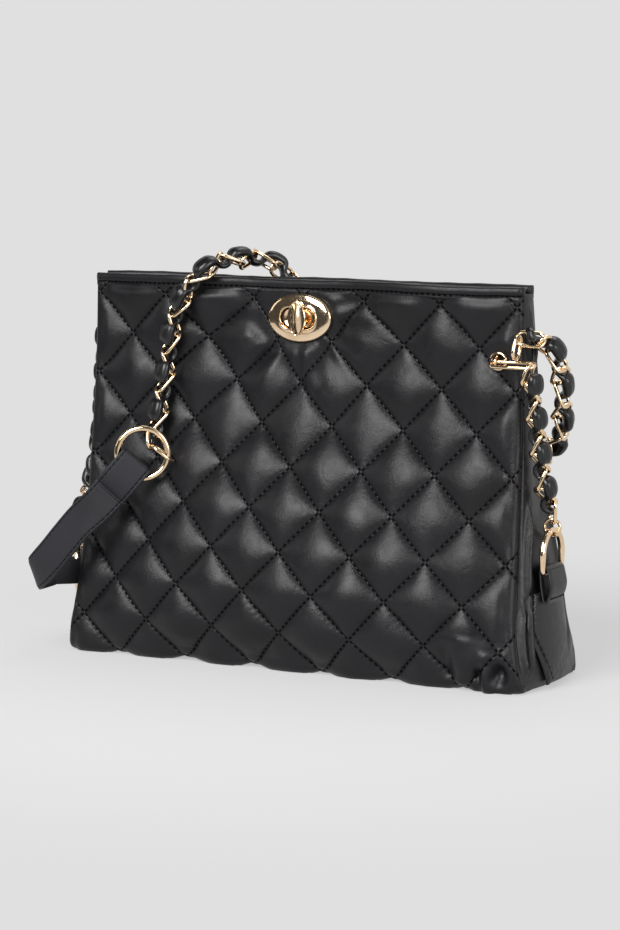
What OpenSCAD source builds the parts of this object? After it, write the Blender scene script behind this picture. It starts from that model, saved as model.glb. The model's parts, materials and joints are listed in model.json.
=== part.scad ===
// Small quilted shoulder bag with a chain strap, a turn lock, side tabs and D-rings.
// Frame: origin at the centre of the base on the floor, +X to the right, +Z up, front at -Y.

/* [Bag body] */
// Height of the rim above the floor
body_h = 190; // [150:1:240]
// Width of the base, seam to seam
base_w = 250; // [200:1:300]
// Width of the mouth, seam to seam
mouth_w = 234; // [190:1:290]
// Depth of the body at its fullest, in the middle of the panels
belly_d = 88; // [60:1:110]
// Depth of the body at the side seams, near the base
seam_d = 72; // [50:1:90]
// Width of half a quilt diamond
quilt_w = 19.1; // [15:0.1:30]
// Height of half a quilt diamond
quilt_h = 20; // [15:0.1:30]
// How far a diamond's middle stands out, and its seams lie in
quilt_lift = 1.5; // [0.5:0.1:2]
// How far each half of the mouth bows open beside the lock
mouth_swell = 6; // [2:0.5:12]
// How far the mouth slumps to the left of the base
lean_x = 3; // [0:0.5:8]
// How far the mouth slumps in front of the base
lean_y = 5; // [0:0.5:10]
// Outward bow of the side gussets
gusset_bow = 6.5; // [2:0.5:12]

/* [Leather and board] */
// Thickness of the quilted panels
panel_t = 3.6; // [2:0.1:6]
// Thickness of the gussets
gusset_t = 1.8; // [1:0.1:3]
// Thickness of the base panel
base_t = 4; // [3:0.1:6]
// Thickness of the lining
lining_t = 0.8; // [0.4:0.1:1.5]
// Thickness of the base board
board_t = 2; // [1:0.1:4]
// Height of the folded rim binding
rim_h = 5.2; // [3:0.1:10]
// Thickness of the side tab leather
tab_t = 1.6; // [1:0.1:3]

/* [Chain] */
// Greatest distance from one link joint to the next
link_pitch = 9.5; // [9.2:0.05:9.5]
// Length of a link over its ends
link_l = 13; // [13:0.1:14]
// Width of a link over its sides
link_w = 9; // [8:0.1:10]
// Thickness of the link wire
link_wire = 1.7; // [1.2:0.1:1.8]
// Width of the leather lace where it shows between links
lace_w = 6.2; // [4:0.1:7]
// Thickness of the leather lace
lace_t = 2.3; // [1.6:0.1:2.6]

/* [Rings] */
// Radius of the strap rings, to the middle of the wire
ring_r = 12.4; // [11:0.1:15]
// Thickness of the strap ring wire
ring_wire = 3.2; // [2:0.1:4]
// Inner length of a D-ring bar
d_ring_in = 19.6; // [16:0.1:24]
// Height of a D-ring from its bar to its top
d_ring_h = 19; // [16:0.1:24]
// Thickness of the D-ring wire
d_ring_wire = 2.6; // [2:0.1:3]
// Height of the D-ring bars above the floor
d_ring_z = 56; // [45:1:70]

/* [Side tabs] */
// Width of the folded loop that holds a D-ring
loop_w = 18.6; // [12:0.1:22]
// Greatest width of the tongue sewn to the gusset
tongue_w = 30; // [20:1:36]
// Height of the seam between loop and tongue
tongue_z = 43; // [34:1:46]
// Offset of the tabs from the middle of the gusset
tab_offset = 4.5; // [0:0.5:8]

/* [Eyelets] */
// Bore of the eyelets
eyelet_bore = 5.8; // [5.6:0.1:7]
// Width of the eyelet flange
eyelet_w = 9.2; // [8.5:0.1:12]
// Height of the eyelets above the floor
eyelet_z = 154.7; // [140:0.5:165]
// Distance of the eyelets from the side seams
eyelet_in = 11.5; // [8:0.5:20]
// Length of a keeper link over its ends
keeper_l = 24; // [20:0.5:28]
// Width of a keeper link over its sides
keeper_w = 7.4; // [7:0.1:9]
// Thickness of the keeper link wire
keeper_wire = 1.6; // [1.2:0.1:1.8]

/* [Turn lock] */
// Width of the oval lock plate
plate_w = 35; // [28:0.5:42]
// Height of the oval lock plate
plate_h = 24; // [20:0.5:30]
// Width of the slot that the knob passes through
slot_w = 18.6; // [16:0.1:22]
// Height of the slot that the knob passes through
slot_h = 10.2; // [9:0.1:12]
// Length of the turning knob
knob_l = 17; // [12:0.1:18]
// Width of the turning knob
knob_w = 8; // [6:0.1:9]
// Distance of the lock centre below the rim
lock_drop = 19; // [16:0.5:26]

/* [Shoulder pad] */
// Width of the leather shoulder pad
pad_w = 17.4; // [12:0.1:18]
// Thickness of the doubled pad leather
pad_t = 3; // [2:0.1:4]

/* [Hidden] */
// Levels as shares of the body height, each with its share of the base width,
// of the belly depth, of the seam depth and of the gusset bow.
level_shares = [[0, 1, 0.7, 0.92, 0.5], [0.05, 0.99, 0.84, 1, 0.75], [0.1, 0.978, 0.95, 0.955, 1],
    [0.15, 0.965, 0.975, 0.91, 0.95], [0.21, 0.961, 1, 0.83, 0.89], [0.3, 0.955, 0.92, 0.71, 0.8],
    [0.4, 0.948, 0.78, 0.6, 0.68], [0.53, 0.945, 0.56, 0.48, 0.52], [0.63, 0.943, 0.38, 0.4, 0.42],
    [0.74, 0.941, 0.28, 0.31, 0.31], [0.84, 0.939, 0.2, 0.255, 0.22], [0.92, 0.938, 0.189, 0.224, 0.16],
    [1, 0.936, 0.18, 0.195, 0.1]];
// Fullness of the back panel against the front one
back_share = 0.8;
// Roundness of the belly across the width
belly_power = 2.4;
// Share of the base width left at the mouth, kept equal to the driving widths
mouth_share = mouth_w / base_w;
last_width_share = 0.936;
fit_gap = 0.3;
cut = 0.4;
fine = 48;
columns = 14;
gusset_columns = 6;
// Levels of the panels from the base panel to the rim binding, one for each row of the quilt
levels = concat([base_t, quilt_h / 2, quilt_h, 1.5 * quilt_h],
    [for (z = [2 * quilt_h : quilt_h : body_h - rim_h - 2]) z], [body_h - rim_h]);
rows = len(levels) - 1;
sew_gap = 0.1;

// Vectors
function unit(v) = v / norm(v);
function mix(a, b, k) = a + (b - a) * k;
function flat(list) = [for (part = list) each part];

// Body form: half width and half depth at a height, and points on the walls.
// u runs from -1 at the left seam to 1 at the right one, w from front to back.
function mid_x(z) = -lean_x * z / body_h;
function mid_y(z) = -lean_y * z / body_h;
function share(v, column) = lookup(v, [for (row = level_shares) [row[0], row[column]]]);
function width_share(v) = mix(1, mouth_share, (1 - share(v, 1)) / (1 - last_width_share));
function half_w(z) = base_w / 2 * width_share(z / body_h);
function seam_half_d(z) = seam_d / 2 * share(z / body_h, 3);
flat_share = 0.15;
function swell(u, z) = mouth_swell * pow(z / body_h, 6)
    * pow(sin(180 * max(0, abs(u) - flat_share) / (1 - flat_share)), 2);
function half_d(u, z, full) = seam_half_d(z) + swell(u, z)
    + full * (belly_d / 2 * share(z / body_h, 2) - seam_half_d(z))
    * (1 - pow(abs(u), belly_power));
function full_share(side) = side < 0 ? 1 : back_share;
function wall_point(u, z, side, inset) = [mid_x(z) + u * half_w(z),
    mid_y(z) + side * (half_d(u, z, full_share(side)) - inset), z];
function bow(z) = gusset_bow * share(z / body_h, 4);
function gusset_point(w, z, side, inset, room) = [
    mid_x(z) + side * (half_w(z) + bow(z) * (1 - w * w) - inset),
    mid_y(z) + w * (seam_half_d(z) - room), z];
// The u that lies at a given x on the wall at a height
function u_at(x, z) = (x - mid_x(z)) / half_w(z);

// Solid between two grids of points, the first facing the viewer of its columns.
module grid_solid(near, far) {
    c = len(near[0]);
    r = len(near);
    n = r * c;
    function at(i, j) = j * c + i;
    cells = [for (j = [0 : r - 2], i = [0 : c - 2]) [at(i, j), at(i + 1, j), at(i + 1, j + 1), at(i, j + 1)]];
    near_faces = [for (q = cells) each [[q[0], q[3], q[2]], [q[0], q[2], q[1]]]];
    far_faces = [for (q = cells) each [[n + q[0], n + q[2], n + q[3]], [n + q[0], n + q[1], n + q[2]]]];
    walls = [
        for (i = [0 : c - 2]) each wall(at(i, 0), at(i + 1, 0), n),
        for (i = [0 : c - 2]) each wall(at(i + 1, r - 1), at(i, r - 1), n),
        for (j = [0 : r - 2]) each wall(at(0, j + 1), at(0, j), n),
        for (j = [0 : r - 2]) each wall(at(c - 1, j), at(c - 1, j + 1), n)];
    polyhedron(concat(flat(near), flat(far)), concat(near_faces, far_faces, walls), convexity = 6);
}
function wall(a, b, n) = [[a, b, n + b], [a, n + b, n + a]];

// The same with each cell split along the quilt's seam through it.
module quilt_solid(near, far) {
    c = len(near[0]);
    r = len(near);
    n = r * c;
    function at(i, j) = j * c + i;
    function rising(i, j) = let(k = i - half_columns - 1, q = floor(levels[j] / quilt_h + 0.01)) (k + q) % 2 != 0;
    cells = [for (j = [0 : r - 2], i = [0 : c - 2]) let(q = [at(i, j), at(i + 1, j), at(i + 1, j + 1), at(i, j + 1)])
        each rising(i, j) ? [[q[0], q[1], q[2]], [q[0], q[2], q[3]]] : [[q[0], q[1], q[3]], [q[1], q[2], q[3]]]];
    walls = [
        for (i = [0 : c - 2]) each wall(at(i, 0), at(i + 1, 0), n),
        for (i = [0 : c - 2]) each wall(at(i + 1, r - 1), at(i, r - 1), n),
        for (j = [0 : r - 2]) each wall(at(0, j + 1), at(0, j), n),
        for (j = [0 : r - 2]) each wall(at(c - 1, j), at(c - 1, j + 1), n)];
    polyhedron(concat(flat(near), flat(far)), concat([for (t = cells) [t[0], t[2], t[1]]],
        [for (t = cells) [n + t[0], n + t[1], n + t[2]]], walls), convexity = 8);
}

// Solid through closed loops of points, each anticlockwise seen from the last one.
module loft(loops) {
    c = len(loops[0]);
    r = len(loops);
    sides = [for (j = [0 : r - 2], i = [0 : c - 1])
        let(a = j * c + i, b = j * c + (i + 1) % c)
        each [[a, a + c, b + c], [a, b + c, b]]];
    bottom = [for (i = [0 : c - 1]) i];
    top = [for (i = [c - 1 : -1 : 0]) (r - 1) * c + i];
    polyhedron(flat(loops), concat(sides, [bottom, top]), convexity = 6);
}

// Closed outline of the body at a height, drawn in by an inset.
function plan(z, inset) = concat(
    [for (i = [0 : columns - 1]) let(u = 2 * i / columns - 1) plan_wall(u, z, -1, inset)],
    [for (i = [0 : gusset_columns - 1]) plan_end(2 * i / gusset_columns - 1, z, 1, inset)],
    [for (i = [0 : columns - 1]) let(u = 1 - 2 * i / columns) plan_wall(u, z, 1, inset)],
    [for (i = [0 : gusset_columns - 1]) plan_end(1 - 2 * i / gusset_columns, z, -1, inset)]);
function plan_wall(u, z, side, inset) = let(p = wall_point(u, z, side, inset))
    [mid_x(z) + u * (half_w(z) - inset), p[1], z];
function plan_end(w, z, side, inset) = gusset_point(w, z, side, inset, inset);

// Body pieces. A panel's columns stand at the quilt's crossings, and its two edges at the seams.
half_columns = floor(mouth_w / 2 / quilt_w);
function column_u(k, z) = abs(k) > half_columns ? sign(k) : k * quilt_w / half_w(z);
// Lift of the quilt at a column and a height: middles out, crossings in, flat at edges, lock and eyelets
function crest(p, q) = (p + q) % 2 == 0 ? 1 : -1;
function lift(p, z, side) = let(q = z / quilt_h, x = p * quilt_w + mid_x(z),
    by_lock = abs(x - lock_x) < plate_w / 2 + 4 && z > lock_z - plate_h / 2 - 1,
    by_eyelet = abs(x - eyelet_x(-side)) < quilt_w && abs(z - eyelet_z) < quilt_h)
    abs(p) > half_columns || z > body_h - rim_h - 1 || by_lock ? 0 : by_eyelet ? -fit_gap
        : quilt_lift * mix(crest(p, floor(q)), crest(p, ceil(q)), q - floor(q));
function panel_row(z, side, inset) = [for (k = [-half_columns - 1 : half_columns + 1])
    wall_point(column_u(k, z), z, side, inset > 0 ? inset : -lift(k, z, side))];

module panel_blank(side) {
    outer = [for (z = levels) panel_row(z, side, 0)];
    inner = [for (z = levels) panel_row(z, side, panel_t)];
    quilt_solid(side < 0 ? outer : inner, side < 0 ? inner : outer);
}

module front_panel() {
    color("#2b2b2f") difference() {
        panel_blank(-1);
        eyelet_hole(1);
        lock_hole();
    }
}

module back_panel() {
    color("#2b2b2f") difference() {
        panel_blank(1);
        eyelet_hole(-1);
        post_hole();
    }
}

module base_panel() {
    color("#2b2b2f") loft([plan(0, base_t * 0.8), plan(base_t * 0.3, base_t * 0.2), plan(base_t, 0)]);
}

module gusset(side) {
    outer = [for (z = levels) [for (i = [0 : gusset_columns])
        gusset_point(2 * i / gusset_columns - 1, z, side, 0, panel_t + sew_gap)]];
    inner = [for (z = levels) [for (i = [0 : gusset_columns])
        gusset_point(2 * i / gusset_columns - 1, z, side, gusset_t, panel_t + sew_gap)]];
    color("#242427") grid_solid(side > 0 ? outer : inner, side > 0 ? inner : outer);
}

module gusset_right() gusset(1);
module gusset_left() gusset(-1);

board_l = base_w * share(0.15, 1) - 2 * (panel_t + fit_gap);
board_w = min(belly_d * share(base_t / body_h, 2), seam_d * share(0, 3)) - 2 * (panel_t + fit_gap);
board_r = board_w / 6;
module base_board() {
    color("#8a7a60") translate([0, 0, base_t]) linear_extrude(board_t) rounded(board_l, board_w, board_r);
}

// Rectangle with round corners, of arcs and squares only
module rounded(l, w, r) {
    square([l - 2 * r, w], center = true);
    square([l, w - 2 * r], center = true);
    for (x = [-1, 1], y = [-1, 1])
        translate([x * (l / 2 - r), y * (w / 2 - r)]) circle(r, $fn = fine);
}

// Oval with straight long sides
module oval(l, w) {
    square([l - w, w], center = true);
    for (x = [-1, 1]) translate([x * (l - w) / 2, 0]) circle(w / 2, $fn = fine);
}

lining_z = base_t + board_t + fit_gap;
lining_in = panel_t + 2.5 * fit_gap;
module lining() {
    foot = (lining_z - levels[0]) / (levels[1] - levels[0]);
    floor_z = (lining_z + lining_t - levels[0]) / (levels[1] - levels[0]);
    outside = concat([mix(plan(levels[0], lining_in), plan(levels[1], lining_in), foot)],
        [for (k = [1 : rows]) plan(levels[k], lining_in)]);
    inside = concat([for (k = [rows : -1 : 1]) plan(levels[k], lining_in + lining_t)],
        [mix(plan(levels[0], lining_in + lining_t), plan(levels[1], lining_in + lining_t), floor_z)]);
    color("#3a3034") difference() {
        loft(concat(outside, inside));
        eyelet_hole(1);
        eyelet_hole(-1);
        lock_hole();
        post_hole();
    }
}

module rim_binding(side) {
    levels = [[body_h - rim_h, 0], [body_h - rim_h / 5, 0], [body_h, rim_h / 6]];
    outer = [for (l = levels) [for (i = [0 : columns]) wall_point(2 * i / columns - 1, l[0], side, l[1])]];
    inner = [for (l = levels) [for (i = [0 : columns])
        wall_point(2 * i / columns - 1, l[0], side, panel_t - l[1])]];
    color("#2b2b2f") grid_solid(side < 0 ? outer : inner, side < 0 ? inner : outer);
}

module rim_binding_front() rim_binding(-1);
module rim_binding_back() rim_binding(1);

// Side tabs: a folded loop round the D-ring bar, and a pointed tongue sewn to the gusset.
// A tab on the left is the right one turned half a turn about the upright through the body.
bar_gap = 0.08;
loop_r = d_ring_wire / 2 + bar_gap + tab_t;
gusset_face_x = gusset_point(0, d_ring_z, 1, 0, panel_t)[0];
bar_x = gusset_face_x + fit_gap + loop_r + 0.5 * gusset_t;
bar_y = mid_y(d_ring_z) - tab_offset;
tab_lean = atan((gusset_point(0, tongue_z, 1, 0, panel_t)[0] - gusset_face_x) / (d_ring_z - tongue_z));
tongue_rows = 8;
tongue_columns = 6;
tongue_foot = base_t / 2;
function tongue_half(k) = tongue_w / 2 * min(1, pow((1 - k) * 2.2, 0.85), 0.74 + k * 0.9);

function tongue_row(k, lift) = let(z = mix(tongue_z + tab_t, tongue_foot, k), h = max(tongue_half(k), tab_t))
    [for (i = [0 : tongue_columns]) let(y = bar_y + h * (2 * i / tongue_columns - 1),
        w = (y - mid_y(z)) / (seam_half_d(z) - panel_t))
        gusset_point(w, z, 1, -lift, panel_t)];

module side_tab() {
    color("#2b2b2f") {
        translate([bar_x, bar_y, d_ring_z]) rotate([0, -tab_lean, 0]) rotate([90, 0, 0])
            linear_extrude(loop_w, center = true) difference() {
                union() {
                    circle(loop_r, $fn = fine);
                    translate([-loop_r, -(d_ring_z - tongue_z)]) square([2 * loop_r, d_ring_z - tongue_z]);
                }
                circle(d_ring_wire / 2 + bar_gap, $fn = fine);
            }
        far = [for (k = [tongue_rows : -1 : 0]) tongue_row(k / tongue_rows, fit_gap)];
        near = [for (k = [tongue_rows : -1 : 0]) tongue_row(k / tongue_rows, fit_gap + tab_t)];
        grid_solid(near, far);
    }
}

module turned_half() {
    rotate([0, 0, 180]) children();
}

module side_tab_right() side_tab();

// Hardware finish
module gold() {
    color("#e3b878") children();
}

// Closed oval of wire, lying in the plane of X and Z, long along Z
module wire_oval(l, w, wire) {
    r = (w - wire) / 2;
    s = (l - w) / 2;
    for (side = [-1, 1]) {
        translate([side * r, 0, -s]) cylinder(h = 2 * s, d = wire, $fn = 24);
        translate([0, 0, side * s]) rotate([90, 0, 0]) rotate([0, 0, side > 0 ? 0 : 180])
            rotate_extrude(angle = 180, $fn = fine) translate([r, 0]) circle(d = wire, $fn = 24);
    }
}

module d_ring() {
    r = d_ring_in / 2 + d_ring_wire / 2;
    leg = d_ring_h - r;
    translate([bar_x, bar_y, d_ring_z]) {
        rotate([90, 0, 0]) cylinder(h = 2 * r, d = d_ring_wire, center = true, $fn = fine);
        for (side = [-1, 1]) translate([0, side * r, 0]) {
            sphere(d = d_ring_wire, $fn = fine);
            cylinder(h = leg, d = d_ring_wire, $fn = fine);
        }
        translate([0, 0, leg]) rotate([90, 0, 90])
            rotate_extrude(angle = 180, $fn = fine) translate([r, 0]) circle(d = d_ring_wire, $fn = fine);
    }
}

jump_r = 4;
jump_wire = 1.6;
jump_play = 0.6;
jump_z = d_ring_z + d_ring_h - d_ring_wire / 2 - jump_wire / 2 - jump_play + jump_r;
module jump_ring() {
    translate([bar_x, bar_y, jump_z]) rotate([90, 0, 0])
        rotate_extrude($fn = fine) translate([jump_r, 0]) circle(d = jump_wire, $fn = 24);
}

// Eyelets, one through the front panel at the right and one through the back at the left
function eyelet_x(side) = mid_x(eyelet_z) + side * (half_w(eyelet_z) - eyelet_in);
function eyelet_y(side) = wall_point(u_at(eyelet_x(side), eyelet_z), eyelet_z, -side, 0)[1];
eyelet_wall = 0.8;
seat_gap = 0.65;
flange_t = 1.1;
washer_t = 0.8;
washer_w = 11;
sleeve_l = lining_in + lining_t + 3 * fit_gap;

// Places children at an eyelet with +Z pointing out of the bag
module at_eyelet(side) {
    translate([eyelet_x(side), eyelet_y(side), eyelet_z]) rotate([side > 0 ? 90 : -90, 0, 0]) children();
}

module eyelet_hole(side) {
    at_eyelet(side) cylinder(h = 2 * belly_d, d = eyelet_bore + 2 * (eyelet_wall + fit_gap / 2),
        center = true, $fn = fine);
}

module eyelet(side) {
    lip = flange_t / 2;
    run = eyelet_w / 2 - lip;
    gold() at_eyelet(side) difference() {
        union() {
            translate([0, 0, -sleeve_l - washer_t])
                cylinder(h = sleeve_l + washer_t + seat_gap + lip, d = eyelet_bore + 2 * eyelet_wall, $fn = fine);
            translate([0, 0, seat_gap]) cylinder(h = flange_t, r = run, $fn = fine);
            translate([0, 0, seat_gap + lip]) rotate_extrude($fn = fine) translate([run, 0]) circle(r = lip, $fn = 24);
        }
        cylinder(h = 4 * sleeve_l, d = eyelet_bore, center = true, $fn = fine);
    }
}

module eyelet_front_right() eyelet(1);
module eyelet_back_left() eyelet(-1);

module eyelet_washers() {
    gold() for (side = [-1, 1]) at_eyelet(side) translate([0, 0, -sleeve_l - washer_t]) difference() {
        cylinder(h = washer_t, d = washer_w, $fn = fine);
        cylinder(h = 3 * washer_t, d = eyelet_bore + 2 * eyelet_wall, center = true, $fn = fine);
    }
}

// The short link through an eyelet, the bar that holds it inside, and the long keeper link
eye_link_w = 5.2;
eye_link_l = 17;
eye_link_wire = 1.5;
eye_link_out = 5.7;
keeper_rise = 2.85;
keeper_tilt = 25;
keeper_run = 1;
module eyelet_link(side) {
    gold() at_eyelet(side) translate([0, 0, eye_link_out - eye_link_l / 2]) rotate([0, 0, 90])
        wire_oval(eye_link_l, eye_link_w, eye_link_wire);
}

module eyelet_link_right() eyelet_link(1);
module eyelet_link_left() eyelet_link(-1);

bar_d = 1.6;
bar_l = 9;
module retaining_bars() {
    gold() for (side = [-1, 1]) at_eyelet(side)
        translate([0, 0, eye_link_out - eye_link_l + eye_link_wire + bar_d / 2 + fit_gap / 2]) rotate([0, 90, 0])
            cylinder(h = bar_l, d = bar_d, center = true, $fn = fine);
}

module keeper_link() {
    r = (keeper_w - keeper_wire) / 2;
    at_eyelet(1) translate([0, 0, keeper_rise]) rotate([keeper_tilt, 0, 0])
        translate([keeper_run + keeper_l / 2 - keeper_w / 2, 0, r]) rotate([0, 90, 0]) rotate([0, 0, 90])
            rotate([0, 0, 90]) wire_oval(keeper_l, keeper_w, keeper_wire);
}

module keeper_link_right() gold() keeper_link();

// Turn lock
lock_z = body_h - lock_drop;
lock_x = mid_x(lock_z);
lock_front_y = wall_point(0, lock_z, -1, 0)[1];
lock_back_y = wall_point(0, lock_z, 1, 0)[1];
plate_t = 1.4;
plate_dome = 1.8;
dome_steps = 5;
post_r = 3;
ring_lip = 1.2;
lock_gap = fit_gap;

module at_lock_front() {
    translate([lock_x, lock_front_y, lock_z]) rotate([90, 0, 0]) children();
}

module post_hole() {
    translate([lock_x, mid_y(lock_z), lock_z]) rotate([-90, 0, 0])
        cylinder(h = belly_d, r = post_r + fit_gap, $fn = fine);
}

module lock_hole() {
    at_lock_front() linear_extrude(2 * panel_t + 2 * lining_t + 2, center = true) oval(slot_w + cut, slot_h + cut);
}

// Domed oval plate with a raised lip round its slot
module lock_plate() {
    gold() at_lock_front() translate([0, 0, lock_gap]) difference() {
        union() {
            linear_extrude(plate_t) oval(plate_w, plate_h);
            for (k = [1 : dome_steps]) let(a = 90 * k / (dome_steps + 1), drop = (1 - cos(a)) * plate_h / 3)
                linear_extrude(plate_t + plate_dome * sin(a)) oval(plate_w - drop, plate_h - drop);
            linear_extrude(plate_t + plate_dome + ring_lip / 2) oval(slot_w + 2 * ring_lip, slot_h + 2 * ring_lip);
        }
        linear_extrude(4 * (plate_t + plate_dome), center = true) oval(slot_w, slot_h);
    }
}

module lock_backing_plate() {
    gold() at_lock_front() translate([0, 0, -lining_in - lining_t - fit_gap - washer_t])
        linear_extrude(washer_t) difference() {
            oval(plate_w - 4 * plate_t, plate_h - 4 * plate_t);
            oval(slot_w, slot_h);
        }
}

// Male half on the inside of the back panel: a flange and a fixed post
lock_base_y = lock_back_y - lining_in - lining_t - fit_gap;
knob_y = lock_front_y - lock_gap - plate_t - plate_dome - ring_lip / 2 - fit_gap;
spindle_r = 1.5;
spindle_gap = 0.05;
washer_gap = 3 * fit_gap;
module lock_base() {
    back_l = lock_back_y + washer_gap + washer_t - lock_base_y;
    gold() translate([lock_x, lock_base_y, lock_z]) rotate([90, 0, 0]) difference() {
        union() {
            linear_extrude(washer_t) oval(slot_w - 6 * cut, slot_h - 6 * cut);
            cylinder(h = lock_base_y - knob_y - spindle_gap, r = post_r, $fn = fine);
            translate([0, 0, -back_l]) cylinder(h = back_l, r = post_r, $fn = fine);
        }
        cylinder(h = 4 * belly_d, r = spindle_r + spindle_gap, center = true, $fn = fine);
    }
}

module lock_washer() {
    gold() translate([lock_x, lock_back_y + washer_gap, lock_z]) rotate([-90, 0, 0]) difference() {
        cylinder(h = washer_t, d = knob_l * 0.8, $fn = fine);
        cylinder(h = 4 * washer_t, r = post_r + sew_gap, center = true, $fn = fine);
    }
}

// Turning knob: a ridged lens on a spindle, upright when locked
knob_t = 4.2;
module lock_knob() {
    knob_r = (knob_l * knob_l / 4 + knob_w * knob_w / 4) / knob_w;
    gold() translate([lock_x, knob_y, lock_z]) rotate([90, 0, 0]) {
        intersection() {
            translate([knob_r - knob_w / 2, 0, 0]) cylinder(h = knob_t, r = knob_r, $fn = 96);
            translate([knob_w / 2 - knob_r, 0, 0]) cylinder(h = knob_t, r = knob_r, $fn = 96);
            translate([0, 0, knob_t - knob_l * 0.62]) sphere(r = knob_l * 0.62, $fn = 96);
        }
        translate([0, 0, knob_y - lock_base_y - washer_t])
            cylinder(h = lock_base_y - knob_y + washer_t + knob_t / 2, r = spindle_r, $fn = fine);
    }
}

// Chain routes: points on the way with the outward direction there. Chosen by hand.
route_right_drop = [[122.7, -20.8, 153.9, 8, -3, 0], [123.2, -19, 143, 8, -3, 0],
    [124.6, -14, 128, 9, -2, 0], [125.6, -10, 110, 9, -2, 0], [127, -8, 94, 9, 0, 0],
    [127.95, -6, 79.6, 8, 6, 0]];
route_strap = [[114.5, -20.5, 157.5, 6, -6, 4], [115.8, -20.7, 166.5, 5, -7, 5], [120.5, -16.5, 169, 6, -4, 7],
    [125.5, -9, 166, 8, -3, 5], [128.6, -2, 155.5, 9, -2, 3], [129.2, 3, 143, 9, 1, 1], [127.8, 7.5, 130, 9, 3, 0],
    [125, 13, 118.5, 8, 5, 0], [118, 21, 109, 5, 8, 0], [104, 26, 102, 2, 9, 0], [86, 28.5, 99, 0, 9, 0],
    [66, 29, 102, 0, 9, 1], [46, 26.5, 111, 0, 9, 1], [28, 22.5, 123, 0, 9, 1], [13, 18.5, 138, 0, 9, 1],
    [1, 15.5, 154, 0, 9, 1], [-9, 13.5, 169, 0, 9, 1], [-18, 13, 182, 0, 8, 3], [-27, 11, 192.5, 0, 6, 6],
    [-34, 5, 197, 0, 3, 9], [-40, -5, 198, 0, 0, 9], [-45.5, -15, 197.2, 0, -3, 9],
    [-51, -22.5, 192.6, -2, -6, 6], [-57.5, -24.5, 185.9, -3, -8, 3], [-63, -24, 180.5, -3, -8, 1],
    [-68, -23.2, 172, -3, -8, 0], [-71.6, -22.8, 162.5, -3, -8, 0], [-74.6, -23.8, 145, -3, -8, 0],
    [-76.3, -26.6, 130, -3, -8, 0], [-76.6, -27.8, 122.5, -3, -8, 1], [-76.8, -29.8, 113.6, -3.6, -7.8, 4],
    [-75.4, -34.9, 106.1, -3.9, -7.7, 5]];
route_left_rise = [[-119.4, 12.4, 157.5, -6, 6, 4], [-120.7, 12.5, 166.5, -5, 7, 5], [-125.5, 16, 170, -6, 4, 7],
    [-131.5, 19, 165.5, -8, 3, 5], [-134.8, 21.3, 152.5, -9, 1, 2], [-135.6, 21.5, 136, -9, 0, 0],
    [-136, 20.5, 116, -9, 0, 0], [-137.8, 19.5, 97, -9, 0, 0], [-140, 18, 83.5, -9, 0, 0],
    [-141.3, 11.5, 70.5, -9, -2, 1], [-139.6, 0.7, 59.3, -9.2, -3.5, 1.7]];
route_left_drop = [[-127.6, 12.7, 153.9, -8, 3, 0], [-128.1, 10.9, 143, -8, 3, 0], [-128, 9, 128, -9, 2, 0],
    [-128.4, 7, 110, -9, 2, 0], [-130.2, 5, 94, -9, 0, 0], [-129.7, 3, 79.6, -8, -6, 0]];

// Smooth curve through the points, as closely spaced points
spline_steps = 6;
function curve_point(a, b, c, d, k) = (2 * b + (c - a) * k + (2 * a - 5 * b + 4 * c - d) * k * k
    + (3 * b - a - 3 * c + d) * k * k * k) / 2;
function smooth(p) = let(n = len(p) - 1) concat([for (i = [0 : n - 1], s = [0 : spline_steps - 1])
    curve_point(p[max(i - 1, 0)], p[i], p[i + 1], p[min(i + 2, n)], s / spline_steps)], [p[n]]);
function place(p) = [p[0], p[1], p[2]];
function lean(p) = [p[3], p[4], p[5]];
function lengths(p, i = 0, run = 0) = i == len(p) - 1 ? [run]
    : concat([run], lengths(p, i + 1, run + norm(place(p[i + 1]) - place(p[i]))));
// Point of a curve at a run of length, read from a table of runs
function table(p, runs, axis) = [for (i = [0 : len(p) - 1]) [runs[i], p[i][axis]]];
function tables(route) = let(p = smooth(route), runs = lengths(p))
    [[for (axis = [0 : 5]) table(p, runs, axis)], runs[len(p) - 1]];
function at_run(t, s) = [for (axis = [0 : 5]) lookup(s, t[0][axis])];
function count(t) = ceil(t[1] / link_pitch - 0.02);

// Frame at a run: along, outward and sideways
function frame_at(t, s, step) = let(a = place(at_run(t, max(0, s - step))), b = place(at_run(t, min(t[1], s + step))),
    along = unit(b - a), out0 = lean(at_run(t, s)), out = unit(out0 - along * (along * out0)))
    [along, out, cross(along, out)];

module link() {
    wire_oval(link_l, link_w, link_wire);
}

module place_in(at, f, roll) {
    x = f[1] * cos(roll) + f[2] * sin(roll);
    y = cross(f[0], x);
    multmatrix([[x[0], y[0], f[0][0], at[0]], [x[1], y[1], f[0][1], at[1]], [x[2], y[2], f[0][2], at[2]],
        [0, 0, 0, 1]]) children();
}

first_roll = 45;
module chain(route, odd = 0) {
    t = tables(route);
    n = count(t);
    step = t[1] / n;
    gold() for (k = [0 : n - 1]) {
        a = place(at_run(t, k * step));
        b = place(at_run(t, (k + 1) * step));
        f = frame_at(t, (k + 0.5) * step, step / 2);
        place_in((a + b) / 2, f, (k + odd) % 2 == 0 ? first_roll : -first_roll) link();
    }
}

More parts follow.
